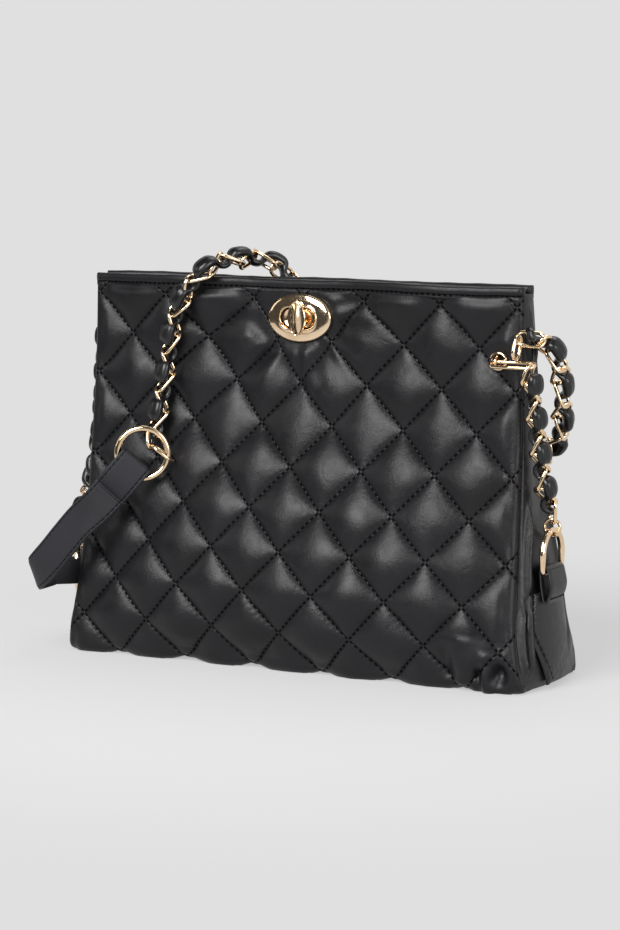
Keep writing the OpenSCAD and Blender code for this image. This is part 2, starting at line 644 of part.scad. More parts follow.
// Lace: woven through every link, over one joint and under the next
weave_shares = [[0, 1], [0.17, 0.97], [0.3, 0.86], [0.5, 0], [0.7, -0.86], [0.83, -0.97], [1, -1]];
broad_shares = [[0, 1], [0.17, 0.9], [0.3, 0.48], [0.5, 0.45], [0.7, 0.48], [0.83, 0.9], [1, 1]];
lace_rings = [0, 0.17, 0.3, 0.5, 0.7, 0.83];
lace_sides = 8;
lace_off = link_wire / 2 + link_w * 0.28 + lace_t / 2 + 0.45;
module lace(route, odd = 0) {
    t = tables(route);
    n = count(t);
    step = t[1] / n;
    stops = [for (k = [0 : n - 1], f = lace_rings) if (k + f >= 0.5 && k + f <= n - 0.5) k + f];
    centres = [for (s = stops) let(f = frame_at(t, s * step, step / 2), k = floor(s))
        place(at_run(t, s * step)) + f[1] * lace_off * lookup(s - k, weave_shares)
        * ((k + odd) % 2 == 0 ? 1 : -1)];
    last = len(stops) - 1;
    loops = [for (i = [0 : last]) let(s = stops[i], f = frame_at(t, s * step, step / 2), side = f[2],
        way = unit(centres[min(i + 1, last)] - centres[max(i - 1, 0)]),
        up = unit(cross(way, side)), across = cross(up, way),
        half = lace_w / 2 * lookup(s - floor(s), broad_shares), thick = lace_t / 2)
        [for (a = [0 : lace_sides - 1]) let(q = (a + 0.5) * 360 / lace_sides)
            centres[i] + across * half * cos(q) + up * thick * sin(q)]];
    color("#26262a") loft(loops);
}

module chain_right_drop() chain(route_right_drop);
module lace_right_drop() lace(route_right_drop);
module chain_strap() chain(route_strap);
module lace_strap() lace(route_strap, 1);
module chain_left_rise() chain(route_left_rise);
module lace_left_rise() lace(route_left_rise);

// The half turn that carries the right side's hardware to the left side
module to_left(z) {
    translate([2 * mid_x(z), 2 * mid_y(z), 0]) turned_half() children();
}

module side_tab_left() to_left(d_ring_z) side_tab();
module d_ring_right() gold() d_ring();
module d_ring_left() gold() to_left(d_ring_z) d_ring();
module jump_ring_right() gold() jump_ring();
module jump_ring_left() gold() to_left(d_ring_z) jump_ring();
module keeper_link_left() gold() to_left(eyelet_z) keeper_link();
module chain_left_drop() chain(route_left_drop);
module lace_left_drop() lace(route_left_drop);

// Strap rings, the links that hook them and the leather pad between them.
// Each ring has an edge direction in plan, and the pad's fold goes round its wire.
ring_front = [-78.6, -36.6, 102.8];
ring_front_turn = 28;
ring_rear = [-136, -5.6, 38.6];
ring_rear_turn = 118;
module strap_ring(at, turn) {
    gold() translate(at) rotate([0, 0, turn]) rotate([90, 0, 0])
        rotate_extrude($fn = fine) translate([ring_r, 0]) circle(d = ring_wire, $fn = 24);
}

module strap_ring_front() strap_ring(ring_front, ring_front_turn);
module strap_ring_rear() strap_ring(ring_rear, ring_rear_turn);

// Edge direction of a ring in plan, and points given along it, upwards and out of its face
function edge(turn) = [cos(turn), sin(turn), 0];
function face(turn) = [sin(turn), -cos(turn), 0];
function from_ring(at, turn, p) = at + edge(turn) * p[0] + [0, 0, p[1]] + face(turn) * p[2];

// Link that hooks a ring at its edge: long direction and place in the ring's own directions
hook_l = 15;
hook_w = 11;
hook_play = 0.4;
hook_reach = ring_wire / 2 + link_wire / 2 + hook_play;
hook_half = (hook_l - link_wire) / 2;
rear_hook_l = 16.2;
rear_hook_half = (rear_hook_l - link_wire) / 2;
rear_hook_play = 1;
module hook_link(at, turn, angle, slope, hold, roll, long = hook_l) {
    run = edge(turn) * cos(slope) + [0, 0, sin(slope)];
    centre = from_ring(at, turn, [ring_r * cos(angle), ring_r * sin(angle), 0]) + run * hold;
    gold() place_in(centre, [run, face(turn), cross(run, face(turn))], roll) wire_oval(long, hook_w, link_wire);
}

module hook_link_front() hook_link(ring_front, ring_front_turn, -8, -38, hook_reach / cos(30) - hook_half, 0);
module hook_link_rear() hook_link(ring_rear, ring_rear_turn, 70, 70,
    rear_hook_half - hook_reach + hook_play - rear_hook_play, 35, rear_hook_l);

// Pad: its middle line, the direction of its width there and the share of the full width
fold_way = unit([-0.576, -0.306, -0.758]);
rear_way = unit([0.61, 0.79, 0]);
fold_skin = 1.5;
rear_share = 0.69;
rear_wire = from_ring(ring_rear, ring_rear_turn, [-ring_r, 0, 0]);
pad_route = [[-93.6, -44.6, 83.1, -6.7, -3.6, 6.5, 1], [-99.5, -47, 76.3, -6.7, -2, 7, 1],
    [-108.7, -48, 68, -6.5, 0, 7.5, 1], [-118, -47.8, 58.8, -6, 0, 8, 1], [-127, -46.4, 50.3, -5, 0, 8.5, 1],
    [-135, -44.4, 44.8, -4, 0, 9, 1], [-140.8, -42, 41.8, -3, 0, 9, 0.97], [-144, -38.4, 40, -2, 0, 9, 0.93],
    [-144.6, -34.8, 39.2, -1, 0, 9, 0.9], [-142.6, -31.4, 38.8, 0, 0, 9, 0.83], [-138.4, -27, 38.6, 0, 0, 9, 0.72]];

// Folded end of the pad: skin round a slot, narrowing to the doubled leather
module pad_fold(near, far, gap, shift, tail) {
    r = gap / 2 + fold_skin;
    difference() {
        translate([0, shift]) {
            translate([near + gap / 2, 0]) circle(r, $fn = fine);
            translate([near + gap / 2, -r]) square([far - near - gap, 2 * r]);
            translate([far - gap / 2, 0]) circle(r, $fn = fine);
            polygon([[far - gap / 2, r], [far - gap / 2, -r], [tail, -pad_t / 2 - shift], [tail, pad_t / 2 - shift]]);
        }
        translate([(near + far) / 2, shift]) oval(far - near, gap);
    }
}

module pad_body() {
    p = smooth(pad_route);
    last = len(p) - 1;
    loops = [for (i = [0 : 3 : last]) let(way = unit(place(p[min(i + 1, last)]) - place(p[max(i - 1, 0)])),
        up0 = unit(lean(p[i])), across = unit(up0 - way * (way * up0)), flank = cross(way, across),
        h = pad_w / 2 * p[i][6], e = pad_t / 2)
        [for (c = [[1, -0.6], [1, 0.6], [0.93, 1], [-0.93, 1], [-1, 0.6], [-1, -0.6], [-0.93, -1], [0.93, -1]])
            place(p[i]) + across * h * c[0] + flank * e * c[1]]];
    loft(loops);
}

front_near = 4.9;
front_far = ring_r + ring_wire / 2 + fit_gap;
front_slot = ring_wire + 1;
front_tail = 27;
rear_near = -3;
rear_far = 4.4;
rear_slot = 5.8;
rear_shift = 0.9;
rear_tail = 14;
module shoulder_pad() {
    fold_width = unit(cross(face(ring_front_turn), fold_way));
    color("#34333a") {
        place_in(ring_front, [fold_width, fold_way, [0, 0, 1]], 0)
            linear_extrude(pad_w, center = true) pad_fold(front_near, front_far, front_slot, 0, front_tail);
        place_in(rear_wire, [[0, 0, 1], -rear_way, [0, 0, 1]], 0)
            linear_extrude(pad_w * rear_share, center = true)
                pad_fold(rear_near, rear_far, rear_slot, -rear_shift, rear_tail);
        pad_body();
    }
}

front_panel();
back_panel();
base_panel();
gusset_right();
gusset_left();
base_board();
lining();
rim_binding_front();
rim_binding_back();
side_tab_right();
side_tab_left();
d_ring_right();
d_ring_left();
jump_ring_right();
jump_ring_left();
eyelet_front_right();
eyelet_back_left();
eyelet_washers();
eyelet_link_right();
eyelet_link_left();
retaining_bars();
keeper_link_right();
keeper_link_left();
lock_plate();
lock_backing_plate();
lock_base();
lock_washer();
lock_knob();
chain_right_drop();
lace_right_drop();
chain_strap();
lace_strap();
chain_left_rise();
lace_left_rise();
chain_left_drop();
lace_left_drop();
hook_link_front();
hook_link_rear();
strap_ring_front();
strap_ring_rear();
shoulder_pad();
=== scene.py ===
import json
import logging
import math
from dataclasses import dataclass, field
from enum import Enum
from typing import Optional, Sequence

import bpy
import numpy as np
from mathutils import Matrix, Vector


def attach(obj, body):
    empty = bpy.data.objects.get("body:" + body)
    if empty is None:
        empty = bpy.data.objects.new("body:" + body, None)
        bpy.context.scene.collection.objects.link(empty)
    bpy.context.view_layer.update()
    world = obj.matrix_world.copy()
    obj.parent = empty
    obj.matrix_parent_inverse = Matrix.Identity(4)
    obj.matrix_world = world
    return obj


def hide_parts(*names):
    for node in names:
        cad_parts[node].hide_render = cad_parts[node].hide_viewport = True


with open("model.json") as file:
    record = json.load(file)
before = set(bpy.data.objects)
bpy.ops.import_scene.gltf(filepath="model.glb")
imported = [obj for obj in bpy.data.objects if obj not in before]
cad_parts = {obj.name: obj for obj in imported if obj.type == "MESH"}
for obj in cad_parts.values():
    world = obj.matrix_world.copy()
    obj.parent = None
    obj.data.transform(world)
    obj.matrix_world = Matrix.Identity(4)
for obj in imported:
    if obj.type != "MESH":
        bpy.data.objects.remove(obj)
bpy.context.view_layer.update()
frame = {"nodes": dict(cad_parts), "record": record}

log = logging.getLogger("chain_shoulder_bag")
MM = 0.001
Points = np.ndarray

# Places in millimetres that more than one sub-assembly meets at: the bar of the right D-ring,
# and the middle of the front strap ring with the turn of its plane about Z in degrees.
D_RING_BAR = (127.949, -5.974, 56.0)
FRONT_RING_AT = (-78.6, -36.6, 102.8)
FRONT_RING_TURN = 28.0


class Side(Enum):
    """The two ends of the bag, as signs along X."""

    RIGHT = 1
    LEFT = -1


class Wall(Enum):
    """The two quilted walls, as signs along Y."""

    FRONT = -1
    BACK = 1


class Slot(Enum):
    """Material slots of the record."""

    QUILT = "quilted_leather"
    PLAIN = "plain_leather"
    PAD = "pad_leather"
    LACE = "lace_leather"
    LINING = "lining_fabric"
    BOARD = "board"
    GOLD = "gold_metal"


# ---------------------------------------------------------------- numbers and vectors


def unit(v: Points) -> Points:
    """Returns vectors scaled to length one along their last axis."""
    v = np.asarray(v, float)
    return v / np.maximum(np.linalg.norm(v, axis=-1, keepdims=True), 1e-12)


def ease(x: Points) -> Points:
    """Returns a smooth step from 0 to 1 of values clamped to that range."""
    x = np.clip(x, 0.0, 1.0)
    return x * x * (3.0 - 2.0 * x)


def turns(count: int) -> Points:
    """Returns evenly spaced angles of one full turn, in radians."""
    return np.linspace(0, 2 * np.pi, count + 1)[:-1]


def linear(hex_colour: str) -> tuple[float, float, float, float]:
    """Turns an sRGB hex colour into linear RGBA.

    Args:
        hex_colour: colour such as "#2a2a2e".

    Returns:
        Linear red, green, blue and an alpha of one.
    """
    parts = [int(hex_colour[i:i + 2], 16) / 255 for i in (1, 3, 5)]
    rgb = [c / 12.92 if c <= 0.04045 else ((c + 0.055) / 1.055) ** 2.4 for c in parts]
    return (rgb[0], rgb[1], rgb[2], 1.0)


def smooth_route(points: Sequence[Sequence[float]], steps: int) -> Points:
    """Draws a smooth curve through points.

    Args:
        points: the points, with any further columns carried along.
        steps: pieces between two points.

    Returns:
        Rows of the curve, with the same columns.
    """
    p = np.asarray(points, float)
    n = len(p) - 1
    rows = []
    for i in range(n):
        a, b, c, d = p[max(i - 1, 0)], p[i], p[i + 1], p[min(i + 2, n)]
        for s in range(steps):
            k = s / steps
            rows.append((2 * b + (c - a) * k + (2 * a - 5 * b + 4 * c - d) * k * k
                         + (3 * b - a - 3 * c + d) * k ** 3) / 2)
    rows.append(p[n])
    return np.array(rows)


def runs_of(points: Points) -> Points:
    """Returns the length run along a curve at each of its points."""
    steps = np.linalg.norm(np.diff(points[:, :3], axis=0), axis=1)
    return np.concatenate([[0.0], np.cumsum(steps)])


# ---------------------------------------------------------------- meshes


def deselect() -> None:
    """Deselects every object, because operators act on all that is selected."""
    bpy.ops.object.select_all(action="DESELECT")


def take(piece: bpy.types.Object) -> None:
    """Makes one object the only selected and the active one."""
    deselect()
    piece.select_set(True)
    bpy.context.view_layer.objects.active = piece


def skin(name: str, rings: Points, closed_ring: bool = True, closed_path: bool = False,
         uv: Optional[Points] = None, cut: Optional[Points] = None, solid: bool = True) -> bpy.types.Object:
    """Shapes a grid into a surface through rows of points.

    Args:
        name: the piece's name.
        rings: rows by columns by three, in millimetres.
        closed_ring: whether each row joins its own start.
        closed_path: whether the last row joins the first.
        uv: rows by columns by two of pattern coordinates in millimetres.
        cut: rows by columns of flags; a face with all its corners flagged is removed.
        solid: whether the ends are closed and the normals recalculated.

    Returns:
        The piece, with its place in its mesh.
    """
    rows, sides = rings.shape[:2]
    across = sides if closed_ring else sides - 1
    along = rows if closed_path else rows - 1
    deselect()
    bpy.ops.mesh.primitive_grid_add(x_subdivisions=across, y_subdivisions=along, size=1)
    piece = bpy.context.active_object
    piece.name = name
    mesh = piece.data
    mesh.name = name
    flat = np.empty(len(mesh.vertices) * 3)
    mesh.vertices.foreach_get("co", flat)
    grid = flat.reshape(-1, 3)
    i = np.rint((grid[:, 0] + 0.5) * across).astype(int)
    j = np.rint((grid[:, 1] + 0.5) * along).astype(int)
    mesh.vertices.foreach_set("co", (rings[j % rows, i % sides] * MM).ravel())
    corners = np.empty(len(mesh.loops), int)
    mesh.loops.foreach_get("vertex_index", corners)
    if uv is None:
        pattern = np.stack([i / across, j / along], 1)
    else:
        pattern = uv[np.minimum(j, uv.shape[0] - 1), np.minimum(i, uv.shape[1] - 1)]
    mesh.uv_layers.active.name = "run"
    mesh.uv_layers.active.uv.foreach_set("vector", pattern[corners].astype(np.float32).ravel())
    bpy.ops.object.mode_set(mode="EDIT")
    if cut is not None:
        bpy.ops.mesh.select_mode(type="FACE")
        bpy.ops.object.mode_set(mode="OBJECT")
        gone = cut[j % rows, i % sides][corners].reshape(-1, 4).all(axis=1)
        mesh.polygons.foreach_set("select", gone)
        bpy.ops.object.mode_set(mode="EDIT")
        bpy.ops.mesh.delete(type="FACE")
        bpy.ops.mesh.select_mode(type="VERT")
    bpy.ops.mesh.select_all(action="SELECT")
    bpy.ops.mesh.remove_doubles(threshold=2e-6)
    if solid:
        bpy.ops.mesh.select_all(action="SELECT")
        bpy.ops.mesh.fill_holes(sides=0)
        bpy.ops.mesh.normals_make_consistent(inside=False)
    bpy.ops.object.mode_set(mode="OBJECT")
    bpy.ops.object.shade_smooth()
    return piece


def modify(piece: bpy.types.Object, kind: str, **settings: object) -> None:
    """Adds a modifier with its settings and applies it.

    Args:
        piece: the object to change.
        kind: Blender's name of the modifier's type.
        settings: the modifier's own values.
    """
    take(piece)
    modifier = piece.modifiers.new(kind.lower(), kind)
    for key, value in settings.items():
        setattr(modifier, key, value)
    bpy.ops.object.modifier_apply(modifier=modifier.name)


def soften(piece: bpy.types.Object, degrees: float) -> None:
    """Shades a piece smooth, and keeps edges sharper than an angle."""
    take(piece)
    bpy.ops.object.shade_smooth_by_angle(angle=math.radians(degrees))


def shifted(x: float, y: float, z: float) -> Matrix:
    """Returns a move in millimetres."""
    return Matrix.Translation(Vector((x, y, z)))


def turned(x: float, y: float, z: float) -> Matrix:
    """Returns turns about X, then Y, then Z, in degrees."""
    return (Matrix.Rotation(math.radians(z), 4, "Z") @ Matrix.Rotation(math.radians(y), 4, "Y")
            @ Matrix.Rotation(math.radians(x), 4, "X"))


def framed(at: Points, x: Points, y: Points, z: Points) -> Matrix:
    """Returns the matrix that carries X, Y and Z to three directions at a place."""
    return Matrix([[x[0], y[0], z[0], at[0]], [x[1], y[1], z[1], at[1]], [x[2], y[2], z[2], at[2]],
                   [0, 0, 0, 1]])


def placed(piece: bpy.types.Object, matrix: Matrix) -> bpy.types.Object:
    """Moves a mesh that was modelled in millimetres at the origin to its place in metres.

    Args:
        piece: the piece.
        matrix: its place, in millimetres.

    Returns:
        The piece.
    """
    piece.data.transform(Matrix.Scale(MM, 4) @ matrix)
    piece.data.update()
    return piece


def copied(piece: bpy.types.Object, name: str) -> bpy.types.Object:
    """Copies a piece together with its mesh.

    Args:
        piece: the piece.
        name: the copy's name.

    Returns:
        The copy.
    """
    twin = piece.copy()
    twin.data = piece.data.copy()
    twin.name = name
    twin.data.name = name
    bpy.context.collection.objects.link(twin)
    return twin


def joined(pieces: Sequence[bpy.types.Object], name: str) -> bpy.types.Object:
    """Joins pieces into one object.

    Args:
        pieces: the pieces, of which the first stays.
        name: the name of the whole.

    Returns:
        The whole.
    """
    deselect()
    for piece in pieces:
        piece.select_set(True)
    bpy.context.view_layer.objects.active = pieces[0]
    bpy.ops.object.join()
    pieces[0].name = name
    pieces[0].data.name = name
    return pieces[0]


def wire_ring(radius: float, wire: float, around: int = 64, sides: int = 16) -> bpy.types.Object:
    """Models a round ring of wire in the X-Z plane, in millimetres.

    Args:
        radius: radius of the wire's middle line.
        wire: thickness of the wire.
        around: segments along the wire.
        sides: sides of the wire.

    Returns:
        The ring.
    """
    deselect()
    bpy.ops.mesh.primitive_torus_add(major_radius=radius, minor_radius=wire / 2, major_segments=around,
                                     minor_segments=sides)
    piece = bpy.context.active_object
    piece.data.transform(turned(90, 0, 0))
    bpy.ops.object.shade_smooth()
    return piece


def wire_oval(length: float, width: float, wire: float, around: int = 28, sides: int = 12) -> bpy.types.Object:
    """Models a link: a ring of wire whose halves are drawn apart along Z.

    Args:
        length: length over the ends, mm.
        width: width over the sides, mm.
        wire: thickness of the wire, mm.
        around: rings along the wire.
        sides: sides of the wire.

    Returns:
        The link in millimetres, in the X-Z plane.
    """
    piece = wire_ring((width - wire) / 2, wire, around, sides)
    apart = (length - width) / 2
    for sign in (1, -1):
        bpy.ops.object.mode_set(mode="EDIT")
        bpy.ops.mesh.select_mode(type="VERT")
        bpy.ops.mesh.select_all(action="DESELECT")
        bpy.ops.object.mode_set(mode="OBJECT")
        for vertex in piece.data.vertices:
            vertex.select = vertex.co.z * sign > 1e-4
        bpy.ops.object.mode_set(mode="EDIT")
        bpy.ops.transform.translate(value=(0, 0, sign * apart))
        bpy.ops.object.mode_set(mode="OBJECT")
    return piece


def stretched(link: bpy.types.Object, extra: float) -> bpy.types.Object:
    """Draws the two ends of a link apart along Z.

    Args:
        link: the link, in millimetres.
        extra: the length it gains.

    Returns:
        The link.
    """
    for vertex in link.data.vertices:
        if abs(vertex.co.z) > 1.0:
            vertex.co.z += math.copysign(extra / 2, vertex.co.z)
    return link


def sweep(name: str, centre: Points, across: Points, up: Points, half: Points, thick: Points,
          section: Points, closed_path: bool = False) -> bpy.types.Object:
    """Sweeps a flat section along a path.

    Args:
        name: the piece's name.
        centre: path points, mm.
        across: unit direction of the width at each point.
        up: unit direction of the thickness at each point.
        half: half width at each point, mm.
        thick: half thickness at each point, mm.
        section: closed loop of (share of the half width, share of the half thickness).
        closed_path: whether the path joins its own start.

    Returns:
        The closed piece, its pattern map running along and across in millimetres.
    """
    half = np.broadcast_to(half, len(centre))
    thick = np.broadcast_to(thick, len(centre))
    rings = (centre[:, None] + across[:, None] * (half[:, None] * section[None, :, 0])[..., None]
             + up[:, None] * (thick[:, None] * section[None, :, 1])[..., None])
    wrapped = np.vstack([section, section[:1]])
    run = runs_of(np.vstack([centre, centre[:1]])) if closed_path else runs_of(centre)
    width = float(half.max())
    uv = np.stack(np.broadcast_arrays(run[:, None], wrapped[None, :, 0] * width), -1)
    return skin(name, rings, True, closed_path, uv)


def lofted(name: str, rows: Sequence[tuple[Points, float]], edge: float,
           closed_path: bool = False) -> bpy.types.Object:
    """Lofts a fitting through flat outlines at their heights.

    Args:
        name: the piece's name.
        rows: outlines of two columns, each with its height, in millimetres.
        edge: angle in degrees above which an edge stays crisp.
        closed_path: whether the last outline joins the first.

    Returns:
        The piece, still in millimetres.
    """
    rings = np.array([np.column_stack([outline, np.full(len(outline), z)]) for outline, z in rows])
    piece = skin(name, rings / MM, closed_path=closed_path)
    soften(piece, edge)
    return piece


def band_section(groove: float = 0.2, groove_at: float = 0.84, crown: float = 0.12,
                 cells: int = 22) -> Points:
    """Returns the outline of a strap: rounded edges, a crowned face and a sewn groove near each edge.

    Args:
        groove: depth of the grooves as a share of the half thickness.
        groove_at: place of the grooves as a share of the half width.
        crown: height of the crown as a share of the half thickness.
        cells: points on each face.

    Returns:
        Closed loop of (share of half width, share of half thickness).
    """
    turn = np.linspace(0, np.pi, cells)
    c = np.sign(np.cos(turn)) * np.abs(np.cos(turn)) ** 0.8
    h = (1 - np.abs(c) ** 9) ** 0.5 * (1 + crown * (1 - c * c))
    h = h - groove * np.exp(-((np.abs(c) - groove_at) / 0.045) ** 2)
    face = np.stack([c, np.maximum(h, 0.0)], 1)
    back = np.stack([c[::-1], -np.maximum((1 - np.abs(c[::-1]) ** 9) ** 0.5, 0.0)], 1)[1:-1]
    return np.vstack([face, back])


# ---------------------------------------------------------------- materials


def feed(tree: bpy.types.NodeTree, node: bpy.types.Node, settings: Optional[dict] = None,
         links: Optional[dict] = None) -> bpy.types.Node:
    """Sets a node's values and links its inputs.

    Args:
        tree: the tree that holds it.
        node: the node.
        settings: input names or numbers, or the node's own property names, with their values.
        links: input names or numbers with the sockets that feed them.

    Returns:
        The node.
    """
    for key, value in (settings or {}).items():
        if isinstance(key, str) and key in node.bl_rna.properties:
            setattr(node, key, value)
        else:
            node.inputs[key].default_value = value
    for key, socket in (links or {}).items():
        tree.links.new(socket, node.inputs[key])
    return node


def add(tree: bpy.types.NodeTree, kind: str, settings: Optional[dict] = None,
        links: Optional[dict] = None) -> bpy.types.Node:
    """Adds a node of a kind, named without its "ShaderNode" start, with values and links as feed takes them."""
    return feed(tree, tree.nodes.new("ShaderNode" + kind), settings, links)


def seen_rays(tree: bpy.types.NodeTree) -> bpy.types.NodeSocket:
    """Returns the socket that is 1 for rays of the camera, of mirrors and through glass."""
    ray = add(tree, "LightPath").outputs
    return maths(tree, "MAXIMUM", maths(tree, "MAXIMUM", ray["Is Camera Ray"], ray["Is Glossy Ray"]),
                 ray["Is Transmission Ray"])


def ramp(tree: bpy.types.NodeTree, source: bpy.types.NodeSocket,
         stops: Sequence[tuple[float, str]]) -> bpy.types.NodeSocket:
    """Adds a colour ramp.

    Args:
        tree: the material's tree.
        source: the socket that drives it.
        stops: pairs of place and hex colour.

    Returns:
        The socket of its colour.
    """
    node = add(tree, "ValToRGB", links={0: source})
    ends = node.color_ramp.elements
    while len(ends) < len(stops):
        ends.new(0.5)
    for element, (place, colour) in zip(ends, stops):
        element.position = place
        element.color = linear(colour)
    return node.outputs[0]


def maths(tree: bpy.types.NodeTree, operation: str, *terms: object) -> bpy.types.NodeSocket:
    """Adds a Math node.

    Args:
        tree: the material's tree.
        operation: Blender's name of the operation.
        terms: its inputs in order, sockets or numbers.

    Returns:
        The socket of its result.
    """
    numbers = {k: t for k, t in enumerate(terms) if not isinstance(t, bpy.types.NodeSocket)}
    sockets = {k: t for k, t in enumerate(terms) if isinstance(t, bpy.types.NodeSocket)}
    return add(tree, "Math", {"operation": operation, **numbers}, sockets).outputs[0]


def new_material(name: str) -> tuple[bpy.types.Material, bpy.types.NodeTree, bpy.types.Node]:
    """Starts a material with an empty tree and a Principled shader.

    Args:
        name: the material's name.

    Returns:
        The material, its tree and the shader.
    """
    material = bpy.data.materials.new(name)
    material.use_nodes = True
    tree = material.node_tree
    tree.nodes.clear()
    shader = add(tree, "BsdfPrincipled")
    add(tree, "OutputMaterial", links={0: shader.outputs[0]})
    return material, tree, shader


@dataclass(frozen=True)
class Stitching:
    """Dashes of thread along lines of a pattern map, in millimetres."""

    pitch: float = 3.1
    dash: float = 0.68
    line_at: float = 7.0
    width: float = 0.55
    groove: float = 0.7
    depth: float = 0.6
    pucker: float = 3.4


@dataclass(frozen=True)
class LeatherFinish:
    """Pigmented cow leather, drum-softened and lightly waxed: a satin sheen over a fine pebble grain."""

    name: str
    colour: str = "#0e0e10"
    worn: str = "#151518"
    thread: str = "#020203"
    rough: float = 0.4
    shine: float = 0.29
    grain_mm: float = 0.75
    grain_depth: float = 0.05
    crease_depth: float = 0.35
    stitching: Optional[Stitching] = None
    quilt_side: float = 0.0

    def build(self) -> bpy.types.Material:
        """Builds the material with its grain, creases, wear and stitches.

        Returns:
            The material.
        """
        material, tree, shader = new_material(self.name)
        place = add(tree, "TexCoord").outputs["Object"]
        # Pebbles of 0.75 mm are finer than a pixel of the main view, so slow creases carry the look there.
        pebble = add(tree, "TexVoronoi", {"Scale": 1000 / self.grain_mm, "feature": "SMOOTH_F1",
                                          "Smoothness": 0.6}, {"Vector": place}).outputs["Distance"]
        crease = add(tree, "TexNoise", {"Scale": 140.0, "Detail": 5.0, "Roughness": 0.62, "Distortion": 0.4},
                     {"Vector": place}).outputs[0]
        cloud = add(tree, "TexNoise", {"Scale": 24.0, "Detail": 3.0}, {"Vector": place}).outputs[0]
        tone = ramp(tree, cloud, [(0.3, self.colour), (0.75, self.worn)])
        rough = add(tree, "MapRange", {1: 0.3, 2: 0.7, 3: self.rough - 0.06, 4: self.rough + 0.08},
                    {0: crease}).outputs[0]
        grain = add(tree, "Bump", {"Strength": 0.55, "Distance": self.grain_depth * MM}, {"Height": pebble})
        surface = add(tree, "Bump", {"Strength": 0.8, "Distance": self.crease_depth * MM},
                      {"Height": crease, "Normal": grain.outputs[0]})
        if self.stitching or self.quilt_side:
            line, dash = self._quilt_lines(tree) if self.quilt_side else self._edge_lines(tree)
            groove = add(tree, "MapRange", {1: 0.0, 2: self._stitch().groove, 3: 0.0, 4: 1.0,
                                            "interpolation_type": "SMOOTHSTEP"}, {0: line}).outputs[0]
            thread = add(tree, "MapRange", {1: 0.0, 2: self._stitch().width, 3: 1.0, 4: 0.0,
                                            "interpolation_type": "SMOOTHSTEP"}, {0: line}).outputs[0]
            thread = maths(tree, "MULTIPLY", thread, dash)
            # Each stitch pulls the leather in, which leaves small puckers that run out of the seam.
            near = add(tree, "MapRange", {1: 0.0, 2: self._stitch().pucker, 3: 1.0, 4: 0.0,
                                          "interpolation_type": "SMOOTHSTEP"}, {0: line}).outputs[0]
            pucker = maths(tree, "MULTIPLY", maths(tree, "MULTIPLY", near, dash), -0.25)
            height = maths(tree, "ADD", maths(tree, "ADD", groove, pucker), maths(tree, "MULTIPLY", thread, 0.3))
            surface = add(tree, "Bump", {"Strength": 1.0, "Distance": self._stitch().depth * MM},
                          {"Height": height, "Normal": surface.outputs[0]})
            # The groove is tinted a little towards the thread's colour along its whole line, gaps included: painted
            # shade in the seam's groove.
            tone = add(tree, "MixRGB", {"blend_type": "MIX", "Color2": linear(self.thread)},
                       {"Fac": maths(tree, "MULTIPLY", maths(tree, "SUBTRACT", 1.0, groove), 0.12),
                        "Color1": tone}).outputs[0]
            tone = add(tree, "MixRGB", {"blend_type": "MIX", "Color2": linear(self.thread)},
                       {"Fac": thread, "Color1": tone}).outputs[0]
            rough = maths(tree, "ADD", rough, maths(tree, "MULTIPLY", thread, 0.35))
            # Spun thread lies in its own shadow and reflects far less than the waxed leather.
            gloss = maths(tree, "MULTIPLY", maths(tree, "SUBTRACT", 1.0, maths(tree, "MULTIPLY", thread, 0.9)),
                          self.shine)
            tree.links.new(gloss, shader.inputs["Specular IOR Level"])
        feed(tree, shader, {"IOR": 1.5, "Specular IOR Level": self.shine},
             {"Base Color": tone, "Roughness": rough, "Normal": surface.outputs[0]})
        return material

    def _stitch(self) -> Stitching:
        """Returns the stitching, or the usual one."""
        return self.stitching or Stitching()

    def _quilt_lines(self, tree: bpy.types.NodeTree) -> tuple:
        """Builds the distance to the nearest quilting seam, and the dashes of its thread.

        Args:
            tree: the material's tree.

        Returns:
            Sockets of the distance in millimetres and of the dashes.
        """
        uv = add(tree, "SeparateXYZ", links={0: add(tree, "UVMap", {"uv_map": "run"}).outputs[0]}).outputs
        away = []
        for axis in (0, 1):
            part = maths(tree, "FRACT", maths(tree, "ADD", uv[axis], 0.5))
            away.append(maths(tree, "MULTIPLY", maths(tree, "ABSOLUTE", maths(tree, "SUBTRACT", part, 0.5)),
                              self.quilt_side))
        near_u = maths(tree, "LESS_THAN", away[0], away[1])
        along = add(tree, "Mix", {"data_type": "FLOAT"}, {0: near_u, 2: uv[0], 3: uv[1]}).outputs[0]
        count = round(self.quilt_side / self._stitch().pitch)
        dash = self._dash(tree, maths(tree, "MULTIPLY", along, float(count)))
        return maths(tree, "MINIMUM", away[0], away[1]), dash

    def _edge_lines(self, tree: bpy.types.NodeTree) -> tuple:
        """Builds the distance to a line beside each edge of a strap, and the dashes of its thread.

        Args:
            tree: the material's tree.

        Returns:
            Sockets of the distance in millimetres and of the dashes.
        """
        uv = add(tree, "SeparateXYZ", links={0: add(tree, "UVMap", {"uv_map": "run"}).outputs[0]}).outputs
        off = maths(tree, "SUBTRACT", maths(tree, "ABSOLUTE", uv[1]), self._stitch().line_at)
        dash = self._dash(tree, maths(tree, "DIVIDE", uv[0], self._stitch().pitch))
        return maths(tree, "ABSOLUTE", off), dash

    def _dash(self, tree: bpy.types.NodeTree, count: bpy.types.NodeSocket) -> bpy.types.NodeSocket:
        """Turns a count of stitches into dashes with gaps between them.

        Args:
            tree: the material's tree.
            count: socket of the number of stitches run so far.

        Returns:
            Socket that is 1 on thread and 0 in the gaps.
        """
        part = maths(tree, "ABSOLUTE", maths(tree, "SUBTRACT", maths(tree, "FRACT", count), 0.5))
        half = self._stitch().dash / 2
        return add(tree, "MapRange", {1: half - 0.08, 2: half + 0.04, 3: 1.0, 4: 0.0,
                                      "interpolation_type": "SMOOTHSTEP"}, {0: part}).outputs[0]


